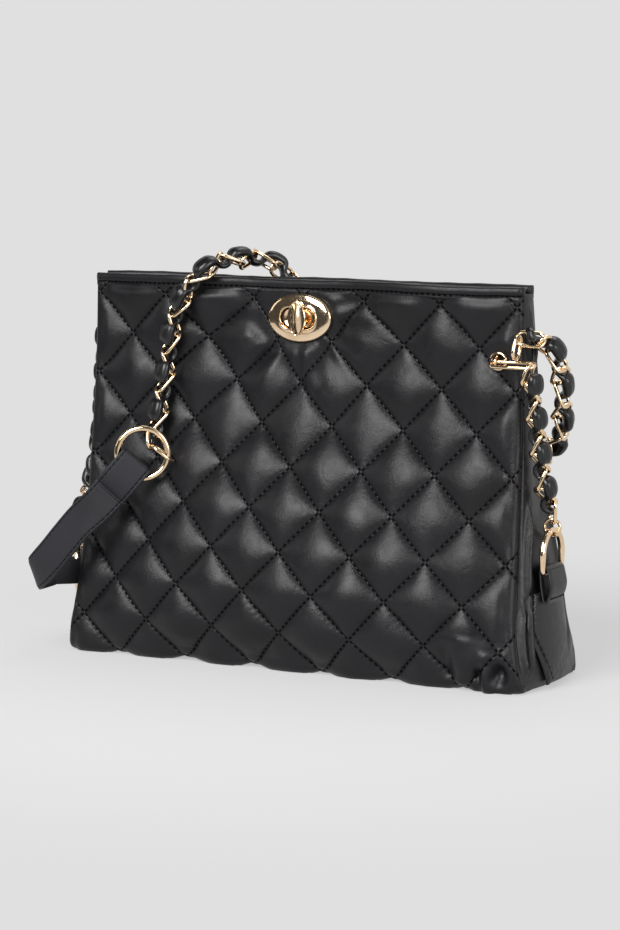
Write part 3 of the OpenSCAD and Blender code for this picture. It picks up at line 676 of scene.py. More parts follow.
@dataclass(frozen=True)
class GoldFinish:
    """Zinc and steel hardware under polished pale gold plate: a bright mirror with faint handling marks."""

    name: str = "polished_gold_plate"
    colour: str = "#f8ddbb"
    deep: str = "#eacda6"
    rough: float = 0.1

    def build(self) -> bpy.types.Material:
        """Builds the plate with slow waves in tone and gloss and fine rubbed marks.

        Returns:
            The material.
        """
        material, tree, shader = new_material(self.name)
        place = add(tree, "TexCoord").outputs["Object"]
        cloud = add(tree, "TexNoise", {"Scale": 160.0, "Detail": 2.0}, {"Vector": place}).outputs[0]
        rubbed = add(tree, "TexNoise", {"Scale": 900.0, "Detail": 4.0, "Roughness": 0.7},
                     {"Vector": place}).outputs[0]
        tone = ramp(tree, cloud, [(0.35, self.deep), (0.65, self.colour)])
        rough = add(tree, "MapRange", {1: 0.35, 2: 0.7, 3: self.rough - 0.04, 4: self.rough + 0.07},
                    {0: rubbed}).outputs[0]
        wave = add(tree, "Bump", {"Strength": 0.25, "Distance": 0.12 * MM}, {"Height": cloud})
        feed(tree, shader, {"Metallic": 1.0}, {"Base Color": tone, "Roughness": rough,
                                               "Normal": wave.outputs[0]})
        return material


@dataclass(frozen=True)
class LiningFinish:
    """Plain-woven polyester lining: matt, with the threads' fine ribs both ways."""

    name: str = "woven_lining_cloth"
    colour: str = "#2b272b"
    light: str = "#3a343a"
    thread_mm: float = 0.5

    def build(self) -> bpy.types.Material:
        """Builds the cloth with crossing threads along the pattern map.

        Returns:
            The material.
        """
        material, tree, shader = new_material(self.name)
        run = add(tree, "UVMap", {"uv_map": "run"}).outputs[0]
        wefts = add(tree, "TexWave", {"Scale": 0.314 / self.thread_mm, "bands_direction": "X"},
                    {"Vector": run}).outputs[1]
        warps = add(tree, "TexWave", {"Scale": 0.314 / self.thread_mm, "bands_direction": "Y"},
                    {"Vector": run}).outputs[1]
        weave = maths(tree, "MAXIMUM", wefts, warps)
        bump = add(tree, "Bump", {"Strength": 0.5, "Distance": 0.15 * MM}, {"Height": weave})
        feed(tree, shader, {"Roughness": 0.85, "Sheen Weight": 0.2},
             {"Base Color": ramp(tree, weave, [(0.0, self.colour), (1.0, self.light)]), "Normal": bump.outputs[0]})
        return material


@dataclass(frozen=True)
class BoardFinish:
    """Grey board that stiffens the base: pressed paper fibre, dead matt."""

    name: str = "pressed_fibre_board"
    colour: str = "#6f675a"
    light: str = "#8d8474"

    def build(self) -> bpy.types.Material:
        """Builds the board with a speckle of fibres.

        Returns:
            The material.
        """
        material, tree, shader = new_material(self.name)
        place = add(tree, "TexCoord").outputs["Object"]
        speck = add(tree, "TexNoise", {"Scale": 700.0, "Detail": 4.0}, {"Vector": place}).outputs[0]
        bump = add(tree, "Bump", {"Strength": 0.4, "Distance": 0.1 * MM}, {"Height": speck})
        feed(tree, shader, {"Roughness": 0.92},
             {"Base Color": ramp(tree, speck, [(0.3, self.colour), (0.7, self.light)]), "Normal": bump.outputs[0]})
        return material


@dataclass(frozen=True)
class StudioFloorFinish:
    """Seamless pale paper: it takes the bag's shadow and fades into the backdrop."""

    name: str = "seamless_paper"
    colour: str = "#e1e1e1"
    paper: str = "#cccccc"
    glow: float = 0.62
    fade_from: float = 0.17
    fade_to: float = 0.42

    def build(self) -> bpy.types.Material:
        """Builds the paper: lit near the bag, and as bright as the backdrop further out.

        Returns:
            The material.
        """
        material, tree, shader = new_material(self.name)
        feed(tree, shader, {"Base Color": linear(self.paper), "Roughness": 0.9, "Specular IOR Level": 0.1})
        place = add(tree, "TexCoord").outputs["Object"]
        away = add(tree, "VectorMath", {"operation": "LENGTH"}, {0: place}).outputs["Value"]
        fade = add(tree, "MapRange", {1: self.fade_from, 2: self.fade_to, 3: self.glow, 4: 1.0,
                                      "interpolation_type": "SMOOTHSTEP"}, {0: away}).outputs[0]
        glow = add(tree, "Emission", {"Color": linear(self.colour), "Strength": 1.0})
        mix = add(tree, "MixShader", links={0: maths(tree, "MULTIPLY", fade, seen_rays(tree)),
                                            1: shader.outputs[0], 2: glow.outputs[0]})
        out = next(n for n in tree.nodes if n.type == "OUTPUT_MATERIAL")
        tree.links.new(mix.outputs[0], out.inputs[0])
        return material


@dataclass
class Finishes:
    """Every finish of the bag, built once."""

    quilt: bpy.types.Material
    gusset: bpy.types.Material
    binding: bpy.types.Material
    tab: bpy.types.Material
    lace: bpy.types.Material
    thread: bpy.types.Material
    pad: bpy.types.Material
    gold: bpy.types.Material
    lining: bpy.types.Material
    board: bpy.types.Material

    @classmethod
    def make(cls) -> "Finishes":
        """Builds all materials and returns them."""
        return cls(
            quilt=LeatherFinish("satin_cow_leather_quilted", quilt_side=27.65,
                                stitching=Stitching(width=1.05, groove=0.9, depth=0.4, dash=0.62)).build(),
            gusset=LeatherFinish("satin_cow_leather_plain", crease_depth=0.6, shine=0.45).build(),
            binding=LeatherFinish("satin_cow_leather_binding", crease_depth=0.25,
                                  stitching=Stitching(line_at=2.1, width=1.05, groove=0.8, dash=0.6, depth=0.5,
                                                      pitch=2.8, pucker=1.4)).build(),
            tab=LeatherFinish("satin_cow_leather_tab", rough=0.4, crease_depth=0.4, shine=0.5,
                              stitching=Stitching(line_at=2.9, width=0.5, groove=0.9, depth=0.9)).build(),
            lace=LeatherFinish("waxed_lace_leather", colour="#0a0a0b", worn="#101012", rough=0.3,
                               crease_depth=0.2, shine=0.5).build(),
            thread=LeatherFinish("waxed_black_thread", colour="#050506", worn="#08080a", rough=0.6,
                                 crease_depth=0.05, shine=0.2).build(),
            pad=LeatherFinish("matt_split_leather_pad", colour="#1d1d21", worn="#25252a", rough=0.55,
                              crease_depth=0.12, shine=0.3,
                              stitching=Stitching(line_at=7.3, width=0.35, groove=0.5, depth=0.3,
                                                  pucker=0.8)).build(),
            gold=GoldFinish().build(),
            lining=LiningFinish().build(),
            board=BoardFinish().build(),
        )


def dress(piece: bpy.types.Object, material: bpy.types.Material, body: str = "bag",
          replaces: Sequence[str] = ()) -> bpy.types.Object:
    """Gives a piece its material, hangs it under the empty of the body it moves with, and hides the CAD nodes it
    stands for.

    Args:
        piece: the new piece.
        material: its finish.
        body: the body it moves with.
        replaces: the CAD nodes it stands for.

    Returns:
        The piece.
    """
    piece.data.materials.clear()
    piece.data.materials.append(material)
    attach(piece, body)
    if replaces:
        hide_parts(*replaces)
    log.info("%s: %d faces on %s", piece.name, len(piece.data.polygons), body)
    return piece


# ---------------------------------------------------------------- body form


@dataclass(frozen=True)
class BodyForm:
    """The body's form: half widths and depths by height, in millimetres."""

    height: float = 190.0
    base_w: float = 250.0
    belly_d: float = 88.0
    seam_d: float = 72.0
    mouth_swell: float = 6.0
    lean_x: float = 3.0
    lean_y: float = 5.0
    gusset_bow: float = 6.5
    rounding: float = 0.035
    levels: tuple = ((0, 1, .7, .92, .5), (.05, .99, .84, 1, .75), (.1, .978, .95, .955, 1),
                     (.15, .965, .975, .91, .95), (.21, .961, 1, .83, .89), (.3, .955, .92, .71, .8),
                     (.4, .948, .78, .6, .68), (.53, .945, .56, .48, .52), (.63, .943, .38, .4, .42),
                     (.74, .941, .28, .31, .31), (.84, .939, .2, .255, .22), (.92, .938, .189, .224, .16),
                     (1, .936, .18, .195, .1))

    def share(self, z: Points, column: int) -> Points:
        """Returns a level share at heights, rounded over its corners.

        Args:
            z: heights in millimetres.
            column: 1 width, 2 belly, 3 seam depth, 4 gusset bow.

        Returns:
            The shares.
        """
        table = np.array(self.levels)
        v = np.asarray(z, float) / self.height
        reach = self.rounding
        spans = np.linspace(-reach, reach, 9)
        room = np.minimum(np.minimum(v, 1 - v), reach) / reach
        return np.mean([np.interp(v + s * np.clip(room, 0, 1), table[:, 0], table[:, column]) for s in spans],
                       axis=0)

    def mid_x(self, z: Points) -> Points:
        """Returns the middle of the body along X."""
        return -self.lean_x * np.asarray(z, float) / self.height

    def mid_y(self, z: Points) -> Points:
        """Returns the middle of the body along Y."""
        return -self.lean_y * np.asarray(z, float) / self.height

    def half_turn(self, z: float) -> Matrix:
        """Returns the half turn about the body's middle at a height, which carries right to left, in metres."""
        return shifted(2 * float(self.mid_x(z)) * MM, 2 * float(self.mid_y(z)) * MM, 0) @ turned(0, 0, 180)

    def half_w(self, z: Points) -> Points:
        """Returns the half width at heights."""
        return self.base_w / 2 * self.share(z, 1)

    def seam_half_d(self, z: Points) -> Points:
        """Returns the half depth at the side seams."""
        return self.seam_d / 2 * self.share(z, 3)

    def half_d(self, u: Points, z: Points, wall: Wall) -> Points:
        """Returns the half depth of a wall.

        Args:
            u: shares of the half width, -1 to 1.
            z: heights.
            wall: which wall.

        Returns:
            Distances from the body's middle.
        """
        full = 1.0 if wall is Wall.FRONT else 0.8
        away = np.clip((np.abs(u) - 0.15) / 0.85, 0, 1)
        swell = self.mouth_swell * (np.asarray(z) / self.height) ** 6 * np.sin(np.pi * away) ** 2
        seam = self.seam_half_d(z)
        return seam + swell + full * (self.belly_d / 2 * self.share(z, 2) - seam) * (1 - np.abs(u) ** 2.4)

    def wall_y(self, u: Points, z: Points, wall: Wall, inset: Points = 0.0) -> Points:
        """Returns Y on a wall, drawn in by an inset."""
        return self.mid_y(z) + wall.value * (self.half_d(u, z, wall) - inset)

    def gusset(self, w: Points, z: Points, side: Side, out: Points = 0.0, room: float = 3.7) -> Points:
        """Returns points on a gusset.

        Args:
            w: share from the front seam, -1, to the back one, 1.
            z: heights.
            side: which gusset.
            out: distance outward from its face.
            room: distance that its edges stay inside the seams.

        Returns:
            Points in millimetres.
        """
        x = self.mid_x(z) + side.value * (self.half_w(z) + self.gusset_bow * self.share(z, 4) * (1 - w * w) + out)
        y = self.mid_y(z) + w * (self.seam_half_d(z) - room)
        return np.stack(np.broadcast_arrays(x, y, z), -1)


@dataclass
class QuiltedWrap:
    """One quilted leather that goes down the front, under the base and up the back."""

    form: BodyForm = field(default_factory=BodyForm)
    column: float = 19.1
    row: float = 20.0
    cells: int = 12
    crown: float = 2.3
    valley: float = -1.6
    uneven: float = 0.16
    corner: float = 6.0
    edge_r: float = 2.3
    edge_in: float = 3.9
    leather: float = 1.4
    lock: tuple = (-2.7, 171.0)
    crush: tuple = ((103, 14, 12, 15, 3.2), (114.5, 9, 4.0, 5.0, -7.5), (108.5, 9, 2.0, 6.5, 3.2),
                    (104.5, 8, 1.8, 6.0, -3.2), (113, 18, 6.0, 3.0, 3.0), (96, 26, 9.0, 3.6, 2.0),
                    (94, 5, 8.0, 2.6, 1.8), (89, 15, 3.4, 8.0, -2.4))
    eyelets: tuple = ((103.5, 154.7, Wall.FRONT), (-108.4, 154.7, Wall.BACK))

    def build(self, finishes: Finishes) -> None:
        """Builds the wrap with its diamonds, its holes and its thickness."""
        rings, uv, cut = self._surface()
        piece = skin("quilted_wrap", rings, closed_ring=False, uv=uv, cut=cut, solid=False)
        self._crease(piece)
        modify(piece, "SOLIDIFY", thickness=self.leather * MM, offset=-1.0, use_rim=True)
        take(piece)
        bpy.ops.object.shade_smooth()
        dress(piece, finishes.quilt, replaces=("front_panel", "base_panel", "back_panel"))

    def _crease(self, piece: bpy.types.Object) -> None:
        """Splits each cell along the nearer quilting seam, so that the seams run clean.

        Args:
            piece: the wrap.
        """
        mesh = piece.data
        pattern = np.empty(len(mesh.loops) * 2, np.float32)
        mesh.uv_layers["run"].uv.foreach_get("vector", pattern)
        starts = np.empty(len(mesh.polygons), int)
        mesh.polygons.foreach_get("loop_start", starts)
        corners = self._corner_counts(mesh)
        middle = np.add.reduceat(pattern.reshape(-1, 2), starts, axis=0) / corners[:, None]
        # A seam lies where either map coordinate is whole; the 100 keeps the numbers positive.
        away = np.abs(np.modf(middle + 100.5)[0] - 0.5)
        self._split(piece, (away[:, 0] < away[:, 1]) & (corners == 4), "FIXED_ALTERNATE")
        self._split(piece, self._corner_counts(mesh) == 4, "FIXED")

    def _corner_counts(self, mesh: bpy.types.Mesh) -> Points:
        """Returns how many corners each face has."""
        counts = np.empty(len(mesh.polygons), int)
        mesh.polygons.foreach_get("loop_total", counts)
        return counts

    def _split(self, piece: bpy.types.Object, chosen: Points, method: str) -> None:
        """Splits faces into triangles.

        Args:
            piece: the piece.
            chosen: flags of the faces.
            method: Blender's name of the diagonal that it cuts along.
        """
        take(piece)
        bpy.ops.object.mode_set(mode="EDIT")
        bpy.ops.mesh.select_mode(type="FACE")
        bpy.ops.mesh.select_all(action="DESELECT")
        bpy.ops.object.mode_set(mode="OBJECT")
        piece.data.polygons.foreach_set("select", chosen)
        bpy.ops.object.mode_set(mode="EDIT")
        bpy.ops.mesh.quads_convert_to_tris(quad_method=method)
        bpy.ops.object.mode_set(mode="OBJECT")

    def _surface(self) -> tuple[Points, Points, Points]:
        """Returns the outer surface, its quilt map and the flags of its holes."""
        form = self.form
        p = np.arange(-7 * self.cells, 7 * self.cells + 1) / self.cells
        q = np.arange(-12.25 * self.cells, 9.25 * self.cells + 1) / self.cells
        P, Q = np.meshgrid(p, q)
        front = Q > -1.5
        h = np.where(front, Q, -3 - Q)
        z_flat = np.minimum(h * self.row, 184.9)
        start, stop = self.corner / self.row, -0.17
        turn = np.clip((start - h) / (start - stop), 0, 1) * np.pi / 2
        z_eff = np.maximum(z_flat, self.corner)
        warp = self._gather(P * self.column, z_eff, front)
        X = P * self.column + warp
        half_w = form.half_w(np.maximum(z_flat, 0) * (h > 0))
        excess = np.abs(X) - (half_w - self.edge_r)
        arc = np.clip(excess / self.edge_r, 0, np.pi / 2)
        inset = np.where(excess > 0, self.edge_r * (1 - np.cos(arc))
                         + np.clip(excess - self.edge_r * np.pi / 2, 0, None), 0)
        inset = np.minimum(inset, self.edge_in)
        x_abs = np.where(excess > 0, half_w - self.edge_r + self.edge_r * np.sin(arc), np.abs(X))
        u = np.clip(x_abs / half_w, 0, 1)
        yf = form.wall_y(u, z_eff, Wall.FRONT)
        yb = form.wall_y(u, z_eff, Wall.BACK)
        sign = np.where(front, -1.0, 1.0)
        y_wall = np.where(front, yf, yb)
        share = np.clip((stop - h) / (1.5 + stop), 0, 1)
        y_mid = (yf + yb) / 2
        y_edge = y_wall - sign * self.corner * (1 - np.cos(turn))
        y = np.where(h >= start, y_wall, y_edge + (y_mid - y_edge) * np.where(h < stop, share, 0))
        z = np.where(h >= start, z_flat, self.corner * (1 - np.sin(turn)))
        inward = np.stack([np.zeros_like(z), -sign * np.cos(turn), np.sin(turn)], -1)
        spot = np.stack([form.mid_x(z) + np.sign(X) * x_abs, y, z], -1)
        slope = unit(np.cross(np.gradient(spot, axis=1), np.gradient(spot, axis=0)))
        rolled = (-inward * np.cos(arc)[..., None]
                  + np.stack([np.sign(X) * np.sin(arc), 0 * z, 0 * z], -1))
        out = unit(np.where((excess > -1)[..., None], rolled, slope))
        spot = spot + inward * inset[..., None]
        fall = self._falls(X, z_flat, excess, front, h)
        U, V = (P + Q + 1) / 2, (P - Q + 1) / 2
        a, b = np.abs(2 * (U - np.floor(U)) - 1), np.abs(2 * (V - np.floor(V)) - 1)
        # Each diamond is stuffed a little more or less than its neighbours, by a number drawn from its place.
        own = np.sin(np.floor(U) * 12.99 + np.floor(V) * 78.23) * 43758.5
        own = 1 + self.uneven * ((own - np.floor(own)) - 0.5)
        puff = ((1 - a ** 2.0) * (1 - b ** 2.0)) ** 0.72
        lift = fall * (self.valley + (self.crown - self.valley) * puff * own)
        lift = lift + fall * self._ripples(X, z_flat, front)
        spot = spot + out * lift[..., None]
        spot[..., 2] = np.maximum(spot[..., 2], 0.04)
        cut = self._holes(spot, front, h)
        return spot, np.stack([U, V], -1), cut

    def _gather(self, X: Points, z: Points, front: Points) -> Points:
        """Returns the sideways drift of the quilt where the lock gathers the mouth.

        Args:
            X: places along the leather's width.
            z: heights.
            front: flags of the front wall.

        Returns:
            Drifts along X.
        """
        high = ease((z - 112) / 60)
        left = 12 * np.exp(-((X + 38) / 29) ** 2) * ease((z - 118) / 62)
        right = -4.5 * np.exp(-((X - 34) / 26) ** 2) * high
        return np.where(front, left + right, 0.35 * (left + right))

    def _falls(self, X: Points, z: Points, excess: Points, front: Points, h: Points) -> Points:
        """Returns how much of the quilting shows: none at edges, rim, lock and eyelets.

        Args:
            X: places along the leather's width.
            z: heights.
            excess: distance past the start of the rolled side edge.
            front: flags of the front wall.
            h: heights in rows, below zero under the base.

        Returns:
            Shares from 0 to 1.
        """
        fall = ease(-(excess + 0.3) / 5.5) * ease((184.6 - z) / 4.5)
        dx, dz = X - self.lock[0] + 2.7, z - self.lock[1]
        oval = np.sqrt((dx / 17.5) ** 2 + (dz / 12) ** 2)
        fall = np.where(front & (h > 0), fall * ease(((oval - 1) * 14 - 1.0) / 7), fall)
        post = np.hypot(dx, dz)
        fall = np.where(~front & (h > 0), fall * ease((post - 7.4) / 5), fall)
        for x, z_at, wall in self.eyelets:
            near = np.hypot(X + self.form.mid_x(z) - x, z - z_at)
            here = front if wall is Wall.FRONT else ~front
            fall = np.where(here & (h > 0), fall * ease((near - 5.0) / 4), fall)
        return fall

    def _ripples(self, X: Points, z: Points, front: Points) -> Points:
        """Returns the panels' soft waves, the folds that run to the lock and the crushed corner.

        Args:
            X: places along the leather's width.
            z: heights.
            front: flags of the front wall.

        Returns:
            Distances outward.
        """
        soft = 0.55 * np.sin(X / 31 + z / 47) + 0.4 * np.sin(X / 17 - z / 23 + 1.3)
        dx, dz = X, z - self.lock[1]
        reach = np.hypot(dx / 1.1, dz)
        way = np.arctan2(dz, dx)
        folds = np.exp(-((reach - 24) / 16) ** 2) * (0.75 * np.sin(way * 9 + 0.8) + 0.4 * np.sin(way * 17))
        fine = 0.22 * np.sin(X / 4.3 + 2.1 * np.sin(z / 13)) * np.sin(z / 6.1 + X / 29)
        crush = np.zeros_like(X)
        for x, at, reach_x, reach_z, depth in self.crush:
            crush = crush + depth * np.exp(-((X - x) / reach_x) ** 2 - ((z - at) / reach_z) ** 2)
        return soft * 0.7 + fine + np.where(front, folds + crush, 0.3 * folds)

    def _holes(self, spot: Points, front: Points, h: Points) -> Points:
        """Pushes points out of the lock's slot and the eyelets, and flags them.

        Args:
            spot: the surface, changed in place.
            front: flags of the front wall.
            h: heights in rows.

        Returns:
            Flags of the points that were inside a hole.
        """
        cut = np.zeros(front.shape, bool)
        high = h > 1
        middle = np.clip(spot[..., 0] - self.lock[0], -4.4, 4.4) + self.lock[0]
        places = [(middle, self.lock[1], 5.6, front), (self.lock[0], self.lock[1], 3.3, ~front)]
        places += [(x, z, 3.95, front if wall is Wall.FRONT else ~front) for x, z, wall in self.eyelets]
        for x, z, radius, here in places:
            dx, dz = spot[..., 0] - x, spot[..., 2] - z
            away = np.hypot(dx, dz)
            inside = here & high & (away < radius)
            push = radius / np.maximum(away, 0.05)
            spot[..., 0] = np.where(inside, x + dx * push, spot[..., 0])
            spot[..., 2] = np.where(inside, z + dz * push, spot[..., 2])
            cut |= inside
        return cut


@dataclass
class SideGusset:
    """Plain leather gusset with the long folds that sag down beside its front seam."""

    side: Side
    form: BodyForm = field(default_factory=BodyForm)
    leather: float = 1.4
    folds: tuple = ((-0.945, -0.95, 3, 178, -2.6, 0.03, 0.0), (-0.86, -0.84, 7, 47, 3.0, 0.032, -0.045),
                    (-0.81, -0.8, 9, 46, -3.0, 0.03, -0.01), (-0.76, -0.78, 7, 50, 3.2, 0.035, 0.025),
                    (-0.8, -0.66, 42, 92, 3.4, 0.05, -0.04), (-0.68, -0.54, 46, 84, -2.0, 0.045, 0.0),
                    (0.7, 0.6, 8, 100, 1.9, 0.12, 0.0), (0.0, 0.1, 70, 150, -2.2, 0.5, 0.0),
                    (-0.35, 0.3, 120, 182, 1.3, 0.1, 0.0), (0.45, -0.2, 130, 184, 1.1, 0.1, 0.0))

    def build(self, finishes: Finishes) -> None:
        """Builds the gusset from rows of points between its two seams."""
        name = "gusset_" + self.side.name.lower()
        z = np.concatenate([[1.2, 2.2, 3.4], np.linspace(4.6, 184.0, 132), [185.6, 186.2, 185.6]])
        w = np.linspace(-1, 1, 110)
        W, Z = np.meshgrid(w, z)
        way = self.side.value
        out = self._folds(W * way, Z)
        tuck = np.where(Z < 4.5, (Z - 4.5) * 0.35, 0) + np.array([0.0] * (len(z) - 2) + [-0.7, -1.5])[:, None]
        spot = self.form.gusset(W, Z, self.side, (out + tuck) * (1 - W ** 20), room=2.7)
        if self.side is Side.LEFT:
            spot = spot[:, ::-1]
        piece = skin(name, spot, closed_ring=False, solid=False)
        modify(piece, "SOLIDIFY", thickness=self.leather * MM, offset=-1.0, use_rim=True)
        dress(piece, finishes.gusset, replaces=(name,))

    def _folds(self, W: Points, Z: Points) -> Points:
        """Returns how far folds and slow waves stand out of the gusset.

        Args:
            W: shares from the front seam, -1, to the back one, 1.
            Z: heights.

        Returns:
            Distances outward.
        """
        out = 0.25 * np.sin(Z / 9 + 3 * W) * np.sin(Z / 31)
        for low, high, start, stop, depth, width, bow in self.folds:
            share = np.clip((Z - start) / (stop - start), 0, 1)
            middle = low + (high - low) * share + bow * np.sin(np.pi * share)
            fade = ease(share / 0.18) * ease((1 - share) / 0.35)
            out = out + depth * fade * np.exp(-((W - middle) / width) ** 2)
        return out


@dataclass
class RimBinding:
    """Strip of leather folded over the rim of one wall and sewn down."""

    wall: Wall
    form: BodyForm = field(default_factory=BodyForm)
    half_t: float = 2.65
    half_h: float = 3.25

    def build(self, finishes: Finishes) -> None:
        """Sweeps the folded strip along the rim, its ends drawn in."""
        name = "rim_binding_" + self.wall.name.lower()
        u = np.linspace(-1, 1, 110)
        z0 = self.form.height - self.half_h + 0.05
        x = self.form.mid_x(z0) + u * self.form.half_w(z0)
        middle = self.form.wall_y(u, z0, self.wall, 2.3)
        sag = 0.35 * np.sin(u * 7 + self.wall.value) - 0.2 * np.abs(np.sin(u * 21))
        centre = np.stack([x, middle, z0 + 0 * u], -1)
        along = unit(np.gradient(centre, axis=0))
        up = np.tile([0.0, 0.0, 1.0], (len(u), 1))
        outward = unit(np.cross(up, along)) * (1 if self.wall is Wall.BACK else -1)
        turn = turns(48)
        lift = np.sign(np.sin(turn)) * np.abs(np.sin(turn)) ** 0.6
        pinch = 1 - 0.2 * np.exp(-((lift + 0.3) / 0.2) ** 2) - 0.1 * (lift < -0.3)
        section = np.stack([np.sign(np.cos(turn)) * np.abs(np.cos(turn)) ** 0.55 * pinch, lift], 1)
        ends = ease((1 - np.abs(u)) / 0.012) * 0.45 + 0.55
        half_h, half_t = self.half_h + 0 * u, self.half_t * ends
        rings = (centre[:, None] + outward[:, None] * (half_t[:, None] * section[None, :, 0])[..., None]
                 + up[:, None] * (half_h[:, None] * section[None, :, 1] + (sag - 0.35)[:, None])[..., None])
        run = runs_of(centre)
        wrapped = np.vstack([section, section[:1]])
        uv = np.stack(np.broadcast_arrays(run[:, None], (wrapped[None, :, 1] + 1) * self.half_h), -1)
        piece = skin(name, rings, uv=uv)
        dress(piece, finishes.binding, replaces=(name,))


@dataclass
class Lining:
    """Woven lining that hangs inside the body as one pocket."""

    form: BodyForm = field(default_factory=BodyForm)
    inset: float = 4.9
    rim_z: float = 184.6
    cloth: float = 0.6

    def build(self, finishes: Finishes) -> None:
        """Builds the pocket from its floor out and up to the rim."""
        walls, ends = 72, 14
        # The floor's rows are shares of the outline at their height, and the walls' rows the whole of it.
        levels = [(0.02, 6.9), (0.35, 6.8), (0.7, 6.8), (0.93, 6.9), (1.0, 7.6)]
        levels += [(1.0, z) for z in np.linspace(12, self.rim_z, 60)]
        rings = np.array([self._plan(z, walls, ends) * [share, share, 1]
                          + np.array([self.form.mid_x(z), self.form.mid_y(z), 0]) * (1 - share)
                          for share, z in levels])
        run = runs_of(rings[-1])
        rise = np.array([z for _, z in levels])
        # The weave's map rises on over the floor, although the floor's height hardly changes.
        rise[:5] = [-60, -40, -20, -5, 2]
        uv = np.stack(np.broadcast_arrays(rise[:, None], np.append(run, run[-1] + 2)[None, :]), -1)
        piece = skin("lining", rings, uv=uv, solid=False)
        take(piece)
        bpy.ops.object.mode_set(mode="EDIT")
        bpy.ops.mesh.select_all(action="SELECT")
        bpy.ops.mesh.fill_holes(sides=0)
        bpy.ops.mesh.select_all(action="SELECT")
        bpy.ops.object.mode_set(mode="OBJECT")
        self._open_top(piece)
        modify(piece, "SOLIDIFY", thickness=self.cloth * MM, offset=-1.0)
        dress(piece, finishes.lining, replaces=("lining",))

    def _open_top(self, piece: bpy.types.Object) -> None:
        """Opens the mouth again, which closed when the floor's pole was filled, and turns the cloth outward.

        Args:
            piece: the lining.
        """
        for face in piece.data.polygons:
            face.select = face.center.z > 0.15 and abs(face.normal.z) > 0.9 and len(face.vertices) > 8
        bpy.ops.object.mode_set(mode="EDIT")
        bpy.ops.mesh.select_mode(type="FACE")
        bpy.ops.mesh.delete(type="ONLY_FACE")
        bpy.ops.mesh.select_all(action="SELECT")
        bpy.ops.mesh.normals_make_consistent(inside=False)
        bpy.ops.object.mode_set(mode="OBJECT")

    def _plan(self, z: float, walls: int, ends: int) -> Points:
        """Returns the closed outline of the pocket at a height.

        Args:
            z: the height.
            walls: points along each wall.
            ends: points along each gusset.

        Returns:
            Points in millimetres.
        """
        form, inset = self.form, self.inset
        u = np.linspace(-1, 1, walls + 1)[:-1]
        w = np.linspace(-1, 1, ends + 1)[:-1]
        half_w = form.half_w(z) - inset
        waves = 0.5 * np.sin(u * 25 + z / 20) * min(1.0, z / 60)
        front = np.stack([form.mid_x(z) + u * half_w, form.wall_y(u, z, Wall.FRONT, inset + waves), z + 0 * u], 1)
        right = form.gusset(w, z + 0 * w, Side.RIGHT, -inset, inset)
        back = np.stack([form.mid_x(z) - u * half_w, form.wall_y(-u, z, Wall.BACK, inset - waves), z + 0 * u], 1)
        left = form.gusset(-w, z + 0 * w, Side.LEFT, -inset, inset)
        return np.vstack([front, right, back, left])


# ---------------------------------------------------------------- tabs and side hardware


